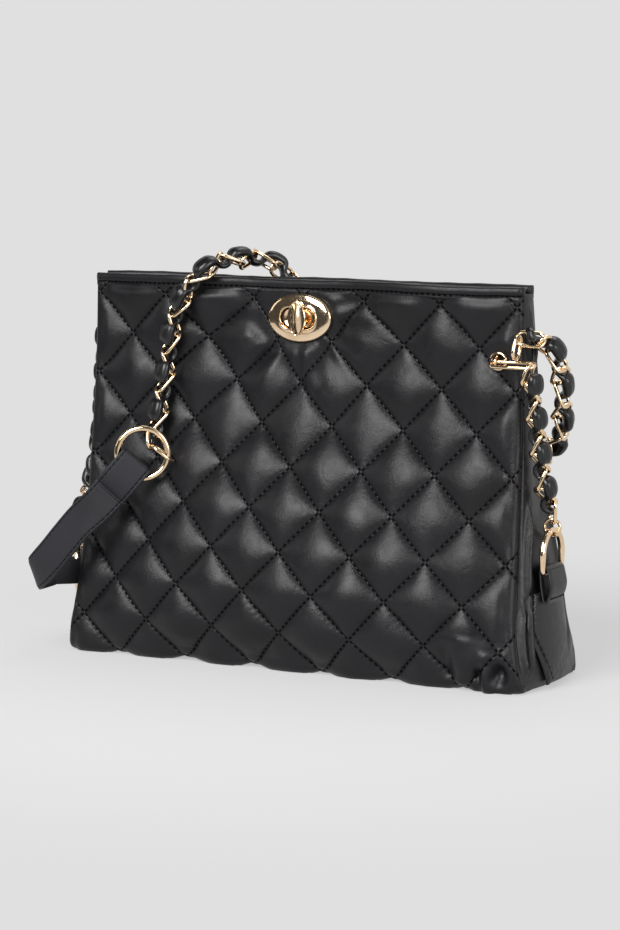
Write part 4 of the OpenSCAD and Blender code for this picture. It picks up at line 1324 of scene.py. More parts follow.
@dataclass
class SideTab:
    """Folded loop that holds a D-ring, over a pointed tongue sewn to the gusset."""

    side: Side
    form: BodyForm = field(default_factory=BodyForm)
    bar: tuple = D_RING_BAR
    loop_w: float = 18.6
    tongue_w: float = 40.0
    tongue_y: float = -4.2
    seam_z: float = 43.0
    leather: float = 1.6
    bar_r: float = 1.38
    left_belly: float = 0.8
    stitches: int = 6
    stitch_pitch: float = 2.75

    def build(self, finishes: Finishes) -> None:
        """Builds loop and tongue on the right, and turns them half round for the left."""
        name = "side_tab_" + self.side.name.lower()
        piece = joined([self._loop(), self._tongue()], name)
        seam = self._seam("tab_seam_" + self.side.name.lower())
        if self.side is Side.LEFT:
            piece.data.transform(self.form.half_turn(self.bar[2]))
            seam.data.transform(self.form.half_turn(self.bar[2]))
        dress(piece, finishes.tab, replaces=(name,))
        dress(seam, finishes.thread)

    def _loop(self) -> bpy.types.Object:
        """Sweeps the strap up from the seam, over the bar and down behind it.

        Returns:
            The loop at the right.
        """
        x0, y0, z0 = self.bar
        mid_r = self.bar_r + self.leather / 2
        turn = np.radians(np.linspace(0, 180, 19))
        over = [(mid_r * math.cos(a), mid_r * math.sin(a)) for a in turn]
        drop = z0 - self.seam_z
        # The left loop bellies less, because the rear strap ring hangs close outside it.
        full = 1.0 if self.side is Side.RIGHT else self.left_belly
        outer = [(-0.15, -drop - 1.6), (0.9 * full, -drop + 0.4), (2.0 * full, -drop + 2.6), (2.9 * full, -drop + 6),
                 (2.75 * full, -4)]
        inner = [(-2.2, -4), (-2.25, -drop + 6), (-1.95, -drop + 2), (-1.7, -drop - 1)]
        path = smooth_route([(x, 0, z) for x, z in outer + over[1:-1] + inner], 3)
        lean = math.radians(-self._lean())
        x = path[:, 0] * math.cos(lean) + path[:, 2] * math.sin(lean)
        z = -path[:, 0] * math.sin(lean) + path[:, 2] * math.cos(lean)
        centre = np.stack([x0 + x, y0 + 0 * x, z0 + z], 1)
        along = unit(np.gradient(centre, axis=0))
        across = np.tile([0.0, 1.0, 0.0], (len(centre), 1))
        up = unit(np.cross(across, along)) * -1
        outward = np.sum(up * (centre - np.array([x0, y0, z0])), axis=1)
        up = up * np.sign(np.median(outward))
        width = self.loop_w / 2 * (1 + 0.02 * np.sin(np.linspace(0, 9, len(centre))))
        section = band_section(groove=0.0, crown=0.25)
        loop = sweep("tab_loop", centre, across, up, width, np.full(len(centre), self.leather / 2), section)
        # The loop has no edge stitching: its pattern map is moved well off the line of stitches.
        for corner in loop.data.uv_layers["run"].uv:
            corner.vector.y += 100.0
        return loop

    def _lean(self) -> float:
        """Returns the lean of the loop towards the gusset, in degrees."""
        low = float(self.form.gusset(0.0, self.seam_z, Side.RIGHT)[0])
        high = float(self.form.gusset(0.0, self.bar[2], Side.RIGHT)[0])
        return math.degrees(math.atan((low - high) / (self.bar[2] - self.seam_z)))

    def _tongue(self) -> bpy.types.Object:
        """Builds the tongue as a thin cushion that follows the gusset down to its point.

        Returns:
            The tongue at the right.
        """
        k = np.concatenate([[-0.03], np.linspace(0, 0.97, 44), [1.0]])
        section = band_section(groove=0.42, groove_at=0.86, crown=0.35, cells=26)
        rings, grids = [], []
        for share in k:
            z = self.seam_z + self.leather + (2.0 - self.seam_z - self.leather) * share
            kk = max(share, 0)
            half = self.tongue_w / 2 * (1 - max(0.0, (kk - 0.3) / 0.7) ** 1.6)
            half = max(half * min(1.0, 0.86 + kk * 0.42), self.leather * 0.7)
            y = self.tongue_y - 8.0 * kk ** 3 + half * section[:, 0]
            w = (y - self.form.mid_y(z)) / (self.form.seam_half_d(z) - 3.6)
            w = np.clip(w, -1.05, 1.05)
            tip = math.sqrt(max(0.06, 1 - max(0.0, (share - 0.9) / 0.1) ** 2)) * (0.75 if share < 0 else 1)
            rise = 1.45 + 1.25 * section[:, 1] * tip
            point = self.form.gusset(w, z + 0 * w, Side.RIGHT, rise, 3.6)
            point[:, 1] = y
            rings.append(point)
            from_edge = half * (1 - np.abs(np.append(section[:, 0], section[0, 0])))
            grids.append(np.stack([np.full(len(section) + 1, -z), from_edge], 1))
        return skin("tab_tongue", np.array(rings), uv=np.array(grids))

    def _seam(self, name: str) -> bpy.types.Object:
        """Lays a row of thread stitches across the seam between loop and tongue.

        Args:
            name: the seam's name.

        Returns:
            The seam.
        """
        stitches = []
        base = self._stitch()
        foot = 1.5 + math.sin(math.radians(self._lean())) * (self.bar[2] - self.seam_z)
        for k in range(self.stitches):
            y = self.bar[1] + (k - (self.stitches - 1) / 2) * self.stitch_pitch
            stitches.append(placed(copied(base, "stitch"),
                                   shifted(self.bar[0] + foot, y, self.seam_z + 0.4)))
        bpy.data.objects.remove(base)
        return joined(stitches, name)

    def _stitch(self) -> bpy.types.Object:
        """Models one stitch of thread: a short capsule that dips at both ends.

        Returns:
            The stitch in millimetres.
        """
        s = np.linspace(-1, 1, 7)
        turn = turns(8)
        thread_r, half_length, rise = 0.5, 1.15, 0.35
        fat = thread_r * np.sqrt(np.maximum(1 - s ** 4, 0.04))
        rings = np.stack([np.stack([rise * (1 - s[i] ** 2) + fat[i] * np.cos(turn), half_length * s[i] + 0 * turn,
                                    fat[i] * np.sin(turn)], 1) for i in range(len(s))]) / MM
        return skin("stitch", rings)


@dataclass
class SideHardware:
    """D-rings, jump rings, keepers, eyelets and their short links, on both sides."""

    form: BodyForm = field(default_factory=BodyForm)
    bar: tuple = D_RING_BAR
    d_in: float = 19.6
    d_h: float = 19.0
    d_wire: float = 2.6
    jump_r: float = 4.0
    jump_wire: float = 1.6
    jump_z: float = 76.3
    d_corner: float = 1.6
    d_swell: float = 0.36
    keeper: tuple = (24.2, 7.6, 1.9)
    eyelet_link: tuple = (17.0, 5.2, 1.5)
    eyelet_z: float = 154.7
    eyelet_right: tuple = (103.5, -13.985)
    eyelet_left: tuple = (-108.38, 5.842)

    def build(self, finishes: Finishes) -> None:
        """Builds each fitting on the right and turns its copy to the left."""
        gold = finishes.gold
        for side in Side:
            end = side.name.lower()
            dress(self._to(side, self._d_ring(), self.bar[2], "d_ring_" + end), gold,
                  "d_" + end, ("d_ring_" + end,))
            jump = placed(wire_ring(self.jump_r, self.jump_wire, 40, 14), shifted(*self.bar[:2], self.jump_z))
            dress(self._to(side, jump, self.bar[2], "jump_ring_" + end), gold,
                  replaces=("jump_ring_" + end,))
            keeper = placed(wire_oval(*self.keeper, 36, 14), self._eyelet_frame(Side.RIGHT)
                            @ shifted(0, 0, 2.85) @ turned(20, 0, 0) @ shifted(1 + 12 - 3.7, 0, 2.9)
                            @ turned(0, 90, 0) @ turned(0, 0, 180))
            dress(self._to(side, keeper, self.eyelet_z, "keeper_link_" + end), gold,
                  replaces=("keeper_link_" + end,))
            link = placed(wire_oval(*self.eyelet_link, 32, 12), self._eyelet_frame(side)
                          @ shifted(0, 0, 5.7 - 8.5) @ turned(0, 0, 90))
            link.name = "eyelet_link_" + end
            dress(link, gold, replaces=("eyelet_link_" + end,))
            face = "eyelet_front_right" if side is Side.RIGHT else "eyelet_back_left"
            dress(self._eyelet(side, face), gold, replaces=(face,))

    def _to(self, side: Side, piece: bpy.types.Object, z: float, name: str) -> bpy.types.Object:
        """Leaves a piece at the right, or turns it half round to the left.

        Args:
            side: where the piece goes.
            piece: the piece, modelled at the right.
            z: height at which the half turn keeps the body's middle.
            name: the piece's name.

        Returns:
            The piece.
        """
        piece.name = name
        piece.data.name = name
        if side is Side.LEFT:
            piece.data.transform(self.form.half_turn(z))
        return piece

    def _eyelet_frame(self, side: Side) -> Matrix:
        """Returns the frame at an eyelet, +Z out of the bag."""
        x, y = self.eyelet_right if side is Side.RIGHT else self.eyelet_left
        return shifted(x, y, self.eyelet_z) @ turned(90 if side is Side.RIGHT else -90, 0, 0)

    def _d_ring(self) -> bpy.types.Object:
        """Models the D: a straight bar, two legs and a round top, with soft lower corners.

        Returns:
            The D-ring at the right.
        """
        r = self.d_in / 2 + self.d_wire / 2
        leg = self.d_h - r
        bend = self.d_corner
        low = [(y, 0) for y in np.linspace(-r + bend, r - bend, 11)]
        corner = [(r - bend + bend * math.sin(a), bend - bend * math.cos(a))
                  for a in np.radians([18, 36, 54, 72, 90])]
        top = [(r * math.cos(a), leg + r * math.sin(a)) for a in np.radians(np.linspace(0, 180, 41))]
        path = low + corner + top + [(-y, z) for y, z in corner[::-1]]
        path = np.array([(0.0, y, z) for y, z in path])
        ahead = unit(np.roll(path, -1, 0) - np.roll(path, 1, 0))
        flank = np.tile([1.0, 0.0, 0.0], (len(path), 1))
        up = np.cross(flank, ahead)
        turn = turns(18)
        section = np.stack([np.cos(turn), np.sin(turn)], 1)
        # Legs and shoulders are cast thicker than the bar and than the crown where the jump ring hangs.
        under_jump = 1 - ease((np.abs(path[:, 1]) - 1.4) / 2.4)
        half = self.d_wire / 2 + self.d_swell * ease((path[:, 2] - 1.0) / 3.0) * (1 - under_jump)
        centre = path + np.array(self.bar)
        return sweep("d_ring", centre, flank, up, half, half, section, closed_path=True)

    def _eyelet(self, side: Side, name: str) -> bpy.types.Object:
        """Spins the rolled profile of an eyelet: a domed flange and a sleeve into the bag.

        Args:
            side: which eyelet.
            name: the piece's name.

        Returns:
            The eyelet in its place.
        """
        profile = [(2.9, -6.5), (2.9, 0.6), (3.0, 1.25), (3.35, 1.7), (3.9, 1.75), (4.3, 1.6), (4.55, 1.3),
                   (4.6, 1.1), (4.5, 0.75), (4.05, 0.65), (3.7, 0.6), (3.7, -6.5)]
        turn = turns(48)
        circle = np.stack([np.cos(turn), np.sin(turn)], 1)
        piece = lofted(name, [(circle * r, z) for r, z in profile], 40, closed_path=True)
        return placed(piece, self._eyelet_frame(side))


@dataclass
class TurnLock:
    """Domed oval plate with a lipped slot, and the ridged lens that turns in it."""

    at: tuple = (-2.7, -12.937, 171.0)
    plate: tuple = (35.0, 24.0)
    slot: tuple = (18.6, 10.2)
    lip: float = 2.4
    gap: float = 1.0
    post_r: float = 2.98
    knob: tuple = (17.0, 8.6)
    spindle: tuple = (1.5, 14.5)
    knob_y: float = -17.337

    def build(self, finishes: Finishes) -> None:
        """Builds the plate on the front panel and the knob on its own body."""
        dress(self._plate(), finishes.gold, replaces=("lock_plate",))
        dress(self._boss(), finishes.gold)
        dress(self._knob(), finishes.gold, "knob", ("lock_knob",))

    def _oval(self, length: float, width: float, turn: Points) -> Points:
        """Returns an oval with straight long sides.

        Args:
            length: its length.
            width: its width.
            turn: directions of its points, in radians.

        Returns:
            Points of two columns.
        """
        x = np.cos(turn) * width / 2 + np.sign(np.cos(turn)) * (length - width) / 2 * ease(
            np.abs(np.cos(turn)) * 6)
        return np.stack([x, np.sin(turn) * width / 2], 1)

    def _plate(self) -> bpy.types.Object:
        """Lofts the plate from its back edge over the dome to the slot's lip and back through.

        Returns:
            The plate in its place.
        """
        turn = turns(96)
        ellipse = np.stack([np.cos(turn) * self.plate[0] / 2, np.sin(turn) * self.plate[1] / 2], 1)
        slot = self._oval(*self.slot, turn)
        lip = self._oval(self.slot[0] + self.lip, self.slot[1] + self.lip, turn)
        rows = [(ellipse * 0.975, 0.0), (ellipse * 0.995, 0.35), (ellipse, 0.8), (ellipse * 0.985, 1.3)]
        for k in np.linspace(0.06, 1, 9):
            a = k * np.pi / 2
            mix = 1 - math.cos(a)
            rows.append((ellipse * 0.985 * (1 - mix) + lip * 1.03 * mix, 1.3 + 1.75 * math.sin(a)))
        rows += [(lip, 3.15), (lip * 0.985, 3.6), (lip * 0.5 + slot * 0.5, 3.8), (slot * 1.03, 3.62),
                 (slot, 3.2), (slot, 0.0)]
        piece = lofted("lock_plate", rows, 50, closed_path=True)
        return placed(piece, shifted(self.at[0], self.at[1], self.at[2]) @ turned(90, 0, 0) @ shifted(0, 0, 0.3))

    def _boss(self) -> bpy.types.Object:
        """Lofts the dished boss that fills the slot round the post of the lock's male half.

        Returns:
            The boss in its place.
        """
        turn = turns(96)
        rim = self._oval(self.slot[0] - self.gap, self.slot[1] - self.gap, turn)
        post = np.stack([np.cos(turn), np.sin(turn)], 1) * self.post_r
        rows = [(rim * 0.98, 0.6), (rim, 0.9), (rim, 2.9), (rim * 0.97, 3.2), (rim * 0.9, 3.25),
                (rim * 0.84, 3.0), (rim * 0.55 + post * 0.35, 2.3), (post, 2.1), (post, 0.6)]
        piece = lofted("lock_boss", rows, 40, closed_path=True)
        return placed(piece, shifted(*self.at) @ turned(90, 0, 0))

    def _knob(self) -> bpy.types.Object:
        """Builds the lens with its hollow facets on a flanged foot, and its spindle.

        Returns:
            The knob in its place.
        """
        long, wide = self.knob
        turn = turns(96)
        # Shares of length and width by height: a flange, a dip inside its rim, then hollow flanks up to a ridge.
        levels = ((0.96, 1.05, 0.0), (1.0, 1.14, 0.15), (1.0, 1.14, 0.7), (0.98, 1.08, 0.95), (0.95, 0.98, 0.85),
                  (0.94, 0.84, 0.9), (0.93, 0.62, 1.25), (0.92, 0.42, 1.9), (0.91, 0.27, 2.7), (0.89, 0.17, 3.5),
                  (0.87, 0.12, 4.1), (0.84, 0.07, 4.4), (0.8, 0.01, 4.45))
        head = lofted("lock_knob", [(self._lens(long * share_l, wide * share_w, turn), z)
                                    for share_l, share_w, z in levels], 28)
        deselect()
        radius, depth = self.spindle
        bpy.ops.mesh.primitive_cylinder_add(vertices=32, radius=radius, depth=depth, location=(0, 0, -7.2))
        spindle = bpy.context.active_object
        take(spindle)
        bpy.ops.object.transform_apply(location=True, rotation=True, scale=True)
        piece = joined([head, spindle], "lock_knob")
        return placed(piece, shifted(self.at[0], self.knob_y, self.at[2]) @ turned(90, 0, 0))

    def _lens(self, length: float, width: float, turn: Points) -> Points:
        """Returns a pointed lens, upright, whose ends are slightly blunted.

        Args:
            length: its length.
            width: its width.
            turn: directions of its points, in radians.

        Returns:
            Points of two columns.
        """
        y = np.sin(turn) * length / 2
        x = np.sign(np.cos(turn)) * width / 2 * np.abs(np.cos(turn)) ** 1.35
        return np.stack([x, y], 1)


# ---------------------------------------------------------------- chain and lace


@dataclass
class ChainRun:
    """A stretch of chain along a route, with the leather lace woven through it."""

    node_end: str
    route: tuple
    lace_odd: int = 0
    pitch: float = 9.5
    link: tuple = (13.0, 9.0, 1.85)
    lace_half: tuple = (2.5, 4.5)
    lace_thick: tuple = (1.1, 2.95)
    lace_off: tuple = (2.0, 3.4)
    first: float = 0.5
    spare: int = 0
    face: float = 50.0
    rolls: tuple = (22.0, -28.0)
    sway: float = 2.8

    def __post_init__(self) -> None:
        """Reads the route as a smooth curve with its lengths."""
        self.curve = smooth_route(self.route, 6)
        self.runs = runs_of(self.curve)
        # A run that is a hair over a whole number of links doesn't take one link more.
        self.count = math.ceil(self.runs[-1] / self.pitch - 0.02) - self.spare
        self.step = self.runs[-1] / self.count

    def build(self, finishes: Finishes) -> None:
        """Builds the links and the lace of this stretch."""
        dress(self._links(), finishes.gold, replaces=("chain_" + self.node_end,))
        dress(self._lace(), finishes.lace, replaces=("lace_" + self.node_end,))

    def _at(self, s: Points) -> Points:
        """Returns route rows at runs of length."""
        return np.stack([np.interp(s, self.runs, self.curve[:, k]) for k in range(6)], -1)

    def _frame(self, s: Points) -> tuple[Points, Points, Points]:
        """Returns the route's directions.

        Args:
            s: runs of length.

        Returns:
            Unit directions along, outward and sideways.
        """
        half = self.step / 2
        a = self._at(np.maximum(0, s - half))[..., :3]
        b = self._at(np.minimum(self.runs[-1], s + half))[..., :3]
        along = unit(b - a)
        lean = self._at(s)[..., 3:]
        out = unit(lean - along * np.sum(along * lean, axis=-1, keepdims=True))
        return along, out, np.cross(along, out)

    def _joint(self, k: int) -> Points:
        """Returns a joint of two links: the lace pushes each the other way, across the flat side.

        Args:
            k: number of the joint.

        Returns:
            Its place.
        """
        spot = np.array([k * self.step])
        _, out, side = (v[0] for v in self._frame(spot))
        way = math.radians(self.face - math.copysign(90.0, self.face))
        push = 0.0 if k in (0, self.count) else (-self.sway if (k + self.lace_odd) % 2 == 0 else self.sway)
        return self._at(spot)[0, :3] + (out * math.cos(way) + side * math.sin(way)) * push

    def _links(self) -> bpy.types.Object:
        """Models one link and sets its copies from joint to joint, each turned against the last.

        Returns:
            All links of the stretch.
        """
        base = wire_oval(*self.link, around=28, sides=12)
        links = []
        for k in range(self.count):
            a, b = self._joint(k), self._joint(k + 1)
            line, out, side = (v[0] for v in self._frame(np.array([(k + 0.5) * self.step])))
            along = unit(b - a)
            wire = self.link[2]
            length = float(np.linalg.norm(b - a)) + wire + wire / float(along @ line)
            roll = math.radians(self.face + self.rolls[(k + 1 + self.lace_odd) % 2])
            x = out * math.cos(roll) + side * math.sin(roll)
            x = unit(x - along * float(along @ x))
            twin = stretched(copied(base, "link"), length - self.link[0])
            links.append(placed(twin, framed((a + b) / 2, x, np.cross(along, x), along)))
        bpy.data.objects.remove(base)
        return joined(links, "chain_" + self.node_end)

    def _lace(self) -> bpy.types.Object:
        """Sweeps the folded leather over one joint and under the next.

        Returns:
            The lace of the stretch.
        """
        weave = ((0, 1), (.3, .95), (.46, .7), (.61, 0), (.75, -.7), (.88, -.95), (1, -1))
        full = ((0, 1), (.2, .98), (.36, .86), (.48, .56), (.58, .22), (.66, .12), (.8, .3), (1, .4))
        stops = np.linspace(self.first, self.count - 0.5, (self.count - 1) * 16 + 1)
        lie, fat = self._eased(weave, stops), self._eased(full, stops)
        _, out, side = self._frame(stops * self.step)
        away = lie * np.where(lie > 0, self.lace_off[1], self.lace_off[0])
        centre = self._at(stops * self.step)[:, :3] + out * away[:, None]
        way = unit(np.gradient(centre, axis=0))
        up = unit(np.cross(way, side))
        across = np.cross(up, way)
        ends = np.sqrt(np.clip(np.minimum(stops - self.first + 0.08, self.count - 0.42 - stops) / 0.16, 0.05, 1))
        half = self.lace_half[0] + (self.lace_half[1] - self.lace_half[0]) * fat
        thick = (self.lace_thick[0] + (self.lace_thick[1] - self.lace_thick[0]) * fat) * ends
        turn = turns(32)
        c, h = np.cos(turn), np.sin(turn)
        h = h * (1 - 0.13 * np.exp(-((c - 0.3) / 0.16) ** 2) - 0.1 * np.exp(-((c + 0.38) / 0.14) ** 2))
        section = np.stack([np.sign(c) * np.abs(c) ** 0.85, h], 1)
        return sweep("lace_" + self.node_end, centre, across, up, half * ends, thick, section)

    def _eased(self, table: tuple, stops: Points) -> Points:
        """Reads a table along the lace, rounded off over its corners.

        Args:
            table: rows of (links from the nearest joint that the lace lies over, value).
            stops: places, in links.

        Returns:
            The values there.
        """
        rows = np.array(table)
        total = 0
        spans = (-0.07, -0.035, 0.0, 0.035, 0.07)
        for span in spans:
            near = np.abs(np.mod(stops + span + self.lace_odd + 1, 2) - 1)
            total = total + np.interp(near, rows[:, 0], rows[:, 1])
        return total / len(spans)


@dataclass
class StrapRings:
    """The two round rings between chain and pad, and the links that hook them."""

    front: tuple = (FRONT_RING_AT, FRONT_RING_TURN)
    rear: tuple = ((-136.0, -5.6, 38.6), 118.0)
    radius: float = 12.4
    wire: float = 3.2
    hook: tuple = (15.0, 11.0, 1.7)
    rear_length: float = 16.2

    def build(self, finishes: Finishes) -> None:
        """Builds rings and hook links in their places."""
        reach = self.wire / 2 + self.hook[2] / 2 + 0.4
        half = (self.hook[0] - self.hook[2]) / 2
        rows = (("front", self.front, -8, -38, reach / math.cos(math.radians(30)) - half, 0, self.hook[0]),
                ("rear", self.rear, 70, 70, half - reach, 35, self.rear_length))
        for end, (at, turn), angle, slope, hold, roll, length in rows:
            ring = placed(wire_ring(self.radius, self.wire, 72, 20), shifted(*at) @ turned(0, 0, turn))
            ring.name = "strap_ring_" + end
            dress(ring, finishes.gold, "ring_" + end, ("strap_ring_" + end,))
            edge = np.array([math.cos(math.radians(turn)), math.sin(math.radians(turn)), 0])
            face = np.array([edge[1], -edge[0], 0])
            lift = np.array([0, 0, 1.0])
            run = edge * math.cos(math.radians(slope)) + lift * math.sin(math.radians(slope))
            centre = (np.array(at) + edge * self.radius * math.cos(math.radians(angle))
                      + lift * self.radius * math.sin(math.radians(angle)) + run * hold)
            side = np.cross(run, face)
            x = face * math.cos(math.radians(roll)) + side * math.sin(math.radians(roll))
            link = placed(wire_oval(length, *self.hook[1:], around=36, sides=14),
                          framed(centre, x, np.cross(run, x), run))
            link.name = "hook_link_" + end
            dress(link, finishes.gold, replaces=("hook_link_" + end,))


@dataclass
class ShoulderPad:
    """Doubled leather pad: a flat band whose ends fold round the two strap rings."""

    width: float = 17.4
    thickness: float = 3.0
    skin_t: float = 1.5
    route: tuple = ((-93.6, -44.6, 83.1, -6.7, -3.6, 6.5, 1), (-99.5, -47, 76.3, -6.7, -2, 7, 1),
                    (-108.7, -48, 68, -6.5, 0, 7.5, 1), (-117.4, -47.8, 58.8, -6, 0, 8, 1),
                    (-125.6, -46.8, 50.2, -5.4, 0, 8.3, 1), (-132.4, -45.2, 44, -5, 0, 8.5, 1),
                    (-137.4, -42.6, 40.2, -4.6, 0, 8.7, .98), (-140.6, -38.6, 38.2, -3.6, 0, 8.9, .95),
                    (-141.4, -34.4, 37.2, -2, 0, 9, .9), (-140.2, -30.6, 37, -.8, 0, 9, .83),
                    (-137.6, -26.6, 37.4, 0, 0, 9, .76))
    ring_front: tuple = FRONT_RING_AT
    rear_wire: tuple = (-130.18, -16.55, 38.6)
    rear_share: float = 0.74

    def build(self, finishes: Finishes) -> None:
        """Builds the band and both folds as one pad."""
        piece = joined([self._band(), self._front_fold(), self._rear_fold()], "shoulder_pad")
        dress(piece, finishes.pad, replaces=("shoulder_pad",))

    def _line(self) -> tuple[Points, Points, Points, Points]:
        """Returns the pad's middle line, width direction, flank direction and width share."""
        curve = smooth_route(self.route, 8)
        centre = curve[:, :3]
        way = unit(np.gradient(centre, axis=0))
        lean = unit(curve[:, 3:6])
        across = unit(lean - way * np.sum(way * lean, axis=1, keepdims=True))
        return centre, across, np.cross(way, across), curve[:, 6]

    def _band(self) -> bpy.types.Object:
        """Sweeps the doubled leather between the folds.

        Returns:
            The band.
        """
        centre, across, flank, share = self._line()
        section = band_section(groove=0.16, groove_at=0.85, crown=0.1, cells=28)
        return sweep("pad_band", centre, across, -flank, self.width / 2 * share,
                     np.full(len(centre), self.thickness / 2), section)

    def _front_fold(self) -> bpy.types.Object:
        """Sweeps the skin that folds round the front ring and lies down as a flap on the band.

        Returns:
            The fold.
        """
        fold_way = unit(np.array([-0.576, -0.306, -0.758]))
        face = np.array([math.sin(math.radians(FRONT_RING_TURN)), -math.cos(math.radians(FRONT_RING_TURN)), 0])
        wide = unit(np.cross(face, fold_way))
        flank = np.cross(wide, fold_way)
        r = 2.1 + self.skin_t / 2
        turn = np.radians(np.linspace(90, 270, 15))
        loop = [(27.5, 0.6), (20, 1.7), (13, r - 0.1)] + [(7 + r * math.cos(a), r * math.sin(a)) for a in turn]
        loop += [(13, -r + 0.1), (20, -1.9)]
        path = np.array([np.array(self.ring_front) + fold_way * a + flank * b for a, b in loop])
        centre, across, out, _ = self._line()
        lie = [k for k in range(len(centre)) if 1 <= k <= 12]
        flap = centre[lie] + out[lie] * (self.thickness / 2 + self.skin_t / 2 - 0.15)
        spots = np.vstack([path, flap])
        wides = np.vstack([np.tile(wide, (len(path), 1)), across[lie]])
        sense = 1 if float(np.dot(wides[0], wides[-1])) > 0 else -1
        wides[len(path):] *= sense
        rows = smooth_route(np.hstack([spots, wides]), 3)
        place, width = rows[:, :3], unit(rows[:, 3:])
        way = unit(np.gradient(place, axis=0))
        width = unit(width - way * np.sum(way * width, axis=1, keepdims=True))
        up = np.cross(way, width)
        middle = np.array(self.ring_front) + fold_way * 9
        k = len(place) // 3
        up = up * (1 if np.dot(up[k], place[k] - middle) > 0 else -1)
        section = band_section(groove=0.3, groove_at=0.85, crown=0.15, cells=28)
        half = np.full(len(place), self.width / 2 + 0.2)
        return sweep("pad_front_fold", place, width, up, half, np.full(len(place), self.skin_t / 2), section)

    def _rear_fold(self) -> bpy.types.Object:
        """Sweeps the narrower skin that folds round the rear ring.

        Returns:
            The fold.
        """
        way_in = unit(np.array([0.61, 0.79, 0.0]))
        wide = np.array([0.0, 0.0, 1.0])
        axis = -way_in
        flank = np.cross(wide, axis)
        r = 2.9 + self.skin_t / 2
        shift = -0.9
        near = -3 + 2.9
        turn = np.radians(np.linspace(90, 270, 15))
        loop = [(14, 0.75), (9, 1.9 + shift * 0.5), (3.2, r + shift)]
        loop += [(near + r * math.cos(a), shift + r * math.sin(a)) for a in turn]
        loop += [(3.2, -r + shift), (9, -2.3 + shift * 0.5), (14, -0.75)]
        path = np.array([np.array(self.rear_wire) + axis * a + flank * b for a, b in loop]) - [0, 0, 1.0]
        rows = smooth_route(path, 3)
        way = unit(np.gradient(rows, axis=0))
        width = np.tile(wide, (len(rows), 1))
        up = np.cross(way, width)
        middle = np.array(self.rear_wire)
        k = len(rows) // 2
        up = up * (1 if np.dot(up[k], rows[k] - middle) > 0 else -1)
        section = band_section(groove=0.3, groove_at=0.82, crown=0.15, cells=28)
        half = np.full(len(rows), self.width / 2 * self.rear_share)
        return sweep("pad_rear_fold", rows, width, up, half, np.full(len(rows), self.skin_t / 2), section)


# Rows of the chains' routes: the place, and the way outward from what the chain lies on.
ROUTES = {
    "right_drop": ((122.7, -20.8, 153.9, 8, -3, 0), (122.6, -20.3, 143, 8, -3, 0), (123.3, -17, 128, 9, -2, 0),
                   (124.3, -13.6, 110, 9, -2, 0), (126, -10.6, 94, 9, 0, 0), (127.95, -6, 79.6, 8, 6, 0)),
    "strap": ((114.5, -20.5, 157.5, 6, -6, 4), (115.6, -20.7, 164.8, 5, -7, 5), (120, -16.5, 166.3, 6, -4, 7),
              (124.8, -9, 163.8, 8, -3, 5), (128.2, -2, 155.5, 9, -2, 3), (127.8, 3.5, 143.5, 9, 1, 1),
              (125.9, 8.5, 131, 9, 3, 0), (122.6, 14.8, 120.5, 8, 5, 0), (115.8, 22.3, 111.3, 5, 8, 0),
              (104, 26, 102, 2, 9, 0), (86, 28.5, 99, 0, 9, 0), (66, 29, 102, 0, 9, 1), (46, 26.5, 111, 0, 9, 1),
              (28, 22.5, 123, 0, 9, 1), (13, 18.5, 138, 0, 9, 1), (1, 15.5, 154, 0, 9, 1), (-9, 13.5, 169, 0, 9, 1),
              (-18, 13, 182, 0, 8, 3), (-27, 11, 192.5, 0, 6, 6), (-34, 5, 197, 0, 3, 9), (-40, -5, 198, 0, 0, 9),
              (-45.5, -15, 197.2, 0, -3, 9), (-51, -22.5, 192.6, -2, -6, 6), (-57.5, -24.5, 185.9, -3, -8, 3),
              (-62, -24, 180.5, -3, -8, 1), (-66.4, -23.2, 172, -3, -8, 0), (-69.2, -22.8, 162.5, -3, -8, 0),
              (-71.4, -23.8, 145, -3, -8, 0), (-73, -26.6, 130, -3, -8, 0), (-73.6, -27.8, 122.5, -3, -8, 1),
              (-75.2, -29.8, 113.6, -3.6, -7.8, 4), (-75.4, -34.9, 106.1, -3.9, -7.7, 5)),
    "left_rise": ((-119.4, 12.4, 157.5, -6, 6, 4), (-120.7, 12.5, 166.5, -5, 7, 5), (-125.5, 16, 170, -6, 4, 7),
                  (-131.5, 19, 165.5, -8, 3, 5), (-134.8, 21.3, 152.5, -9, 1, 2), (-135.6, 21.5, 136, -9, 0, 0),
                  (-136, 20.5, 116, -9, 0, 0), (-137.8, 19.5, 97, -9, 0, 0), (-140, 18, 83.5, -9, 0, 0),
                  (-141.3, 11.5, 70.5, -9, -2, 1), (-139.6, 0.7, 59.3, -9.2, -3.5, 1.7)),
    "left_drop": ((-127.6, 12.7, 153.9, -8, 3, 0), (-128.1, 10.9, 143, -8, 3, 0), (-128, 9, 128, -9, 2, 0),
                  (-128.4, 7, 110, -9, 2, 0), (-130.2, 5, 94, -9, 0, 0), (-129.7, 3, 79.6, -8, -6, 0)),
}


# How each stretch is woven: the joints that the lace lies over, the links' turn about the run in degrees,
# links left out of the count, and where the lace starts, in links.
WEAVES = {
    "right_drop": {"lace_odd": 1, "face": 50.0},
    "strap": {"lace_odd": 1, "face": -50.0, "spare": 1, "first": 1.3},
    "left_rise": {"lace_odd": 0, "face": 50.0},
    "left_drop": {"lace_odd": 1, "face": 50.0},
}


def dress_cad_nodes(finishes: Finishes) -> None:
    """Gives every CAD node that stays the finish of its slot."""
    looks = {"board": finishes.board, "gold_metal": finishes.gold, "lining_fabric": finishes.lining,
             "plain_leather": finishes.gusset, "quilted_leather": finishes.quilt,
             "pad_leather": finishes.pad, "lace_leather": finishes.lace}
    for part in frame["record"]["subparts"]:
        node = frame["nodes"][part["node"]]
        for slot in node.material_slots:
            slot.material = looks[part["material_slot"]]


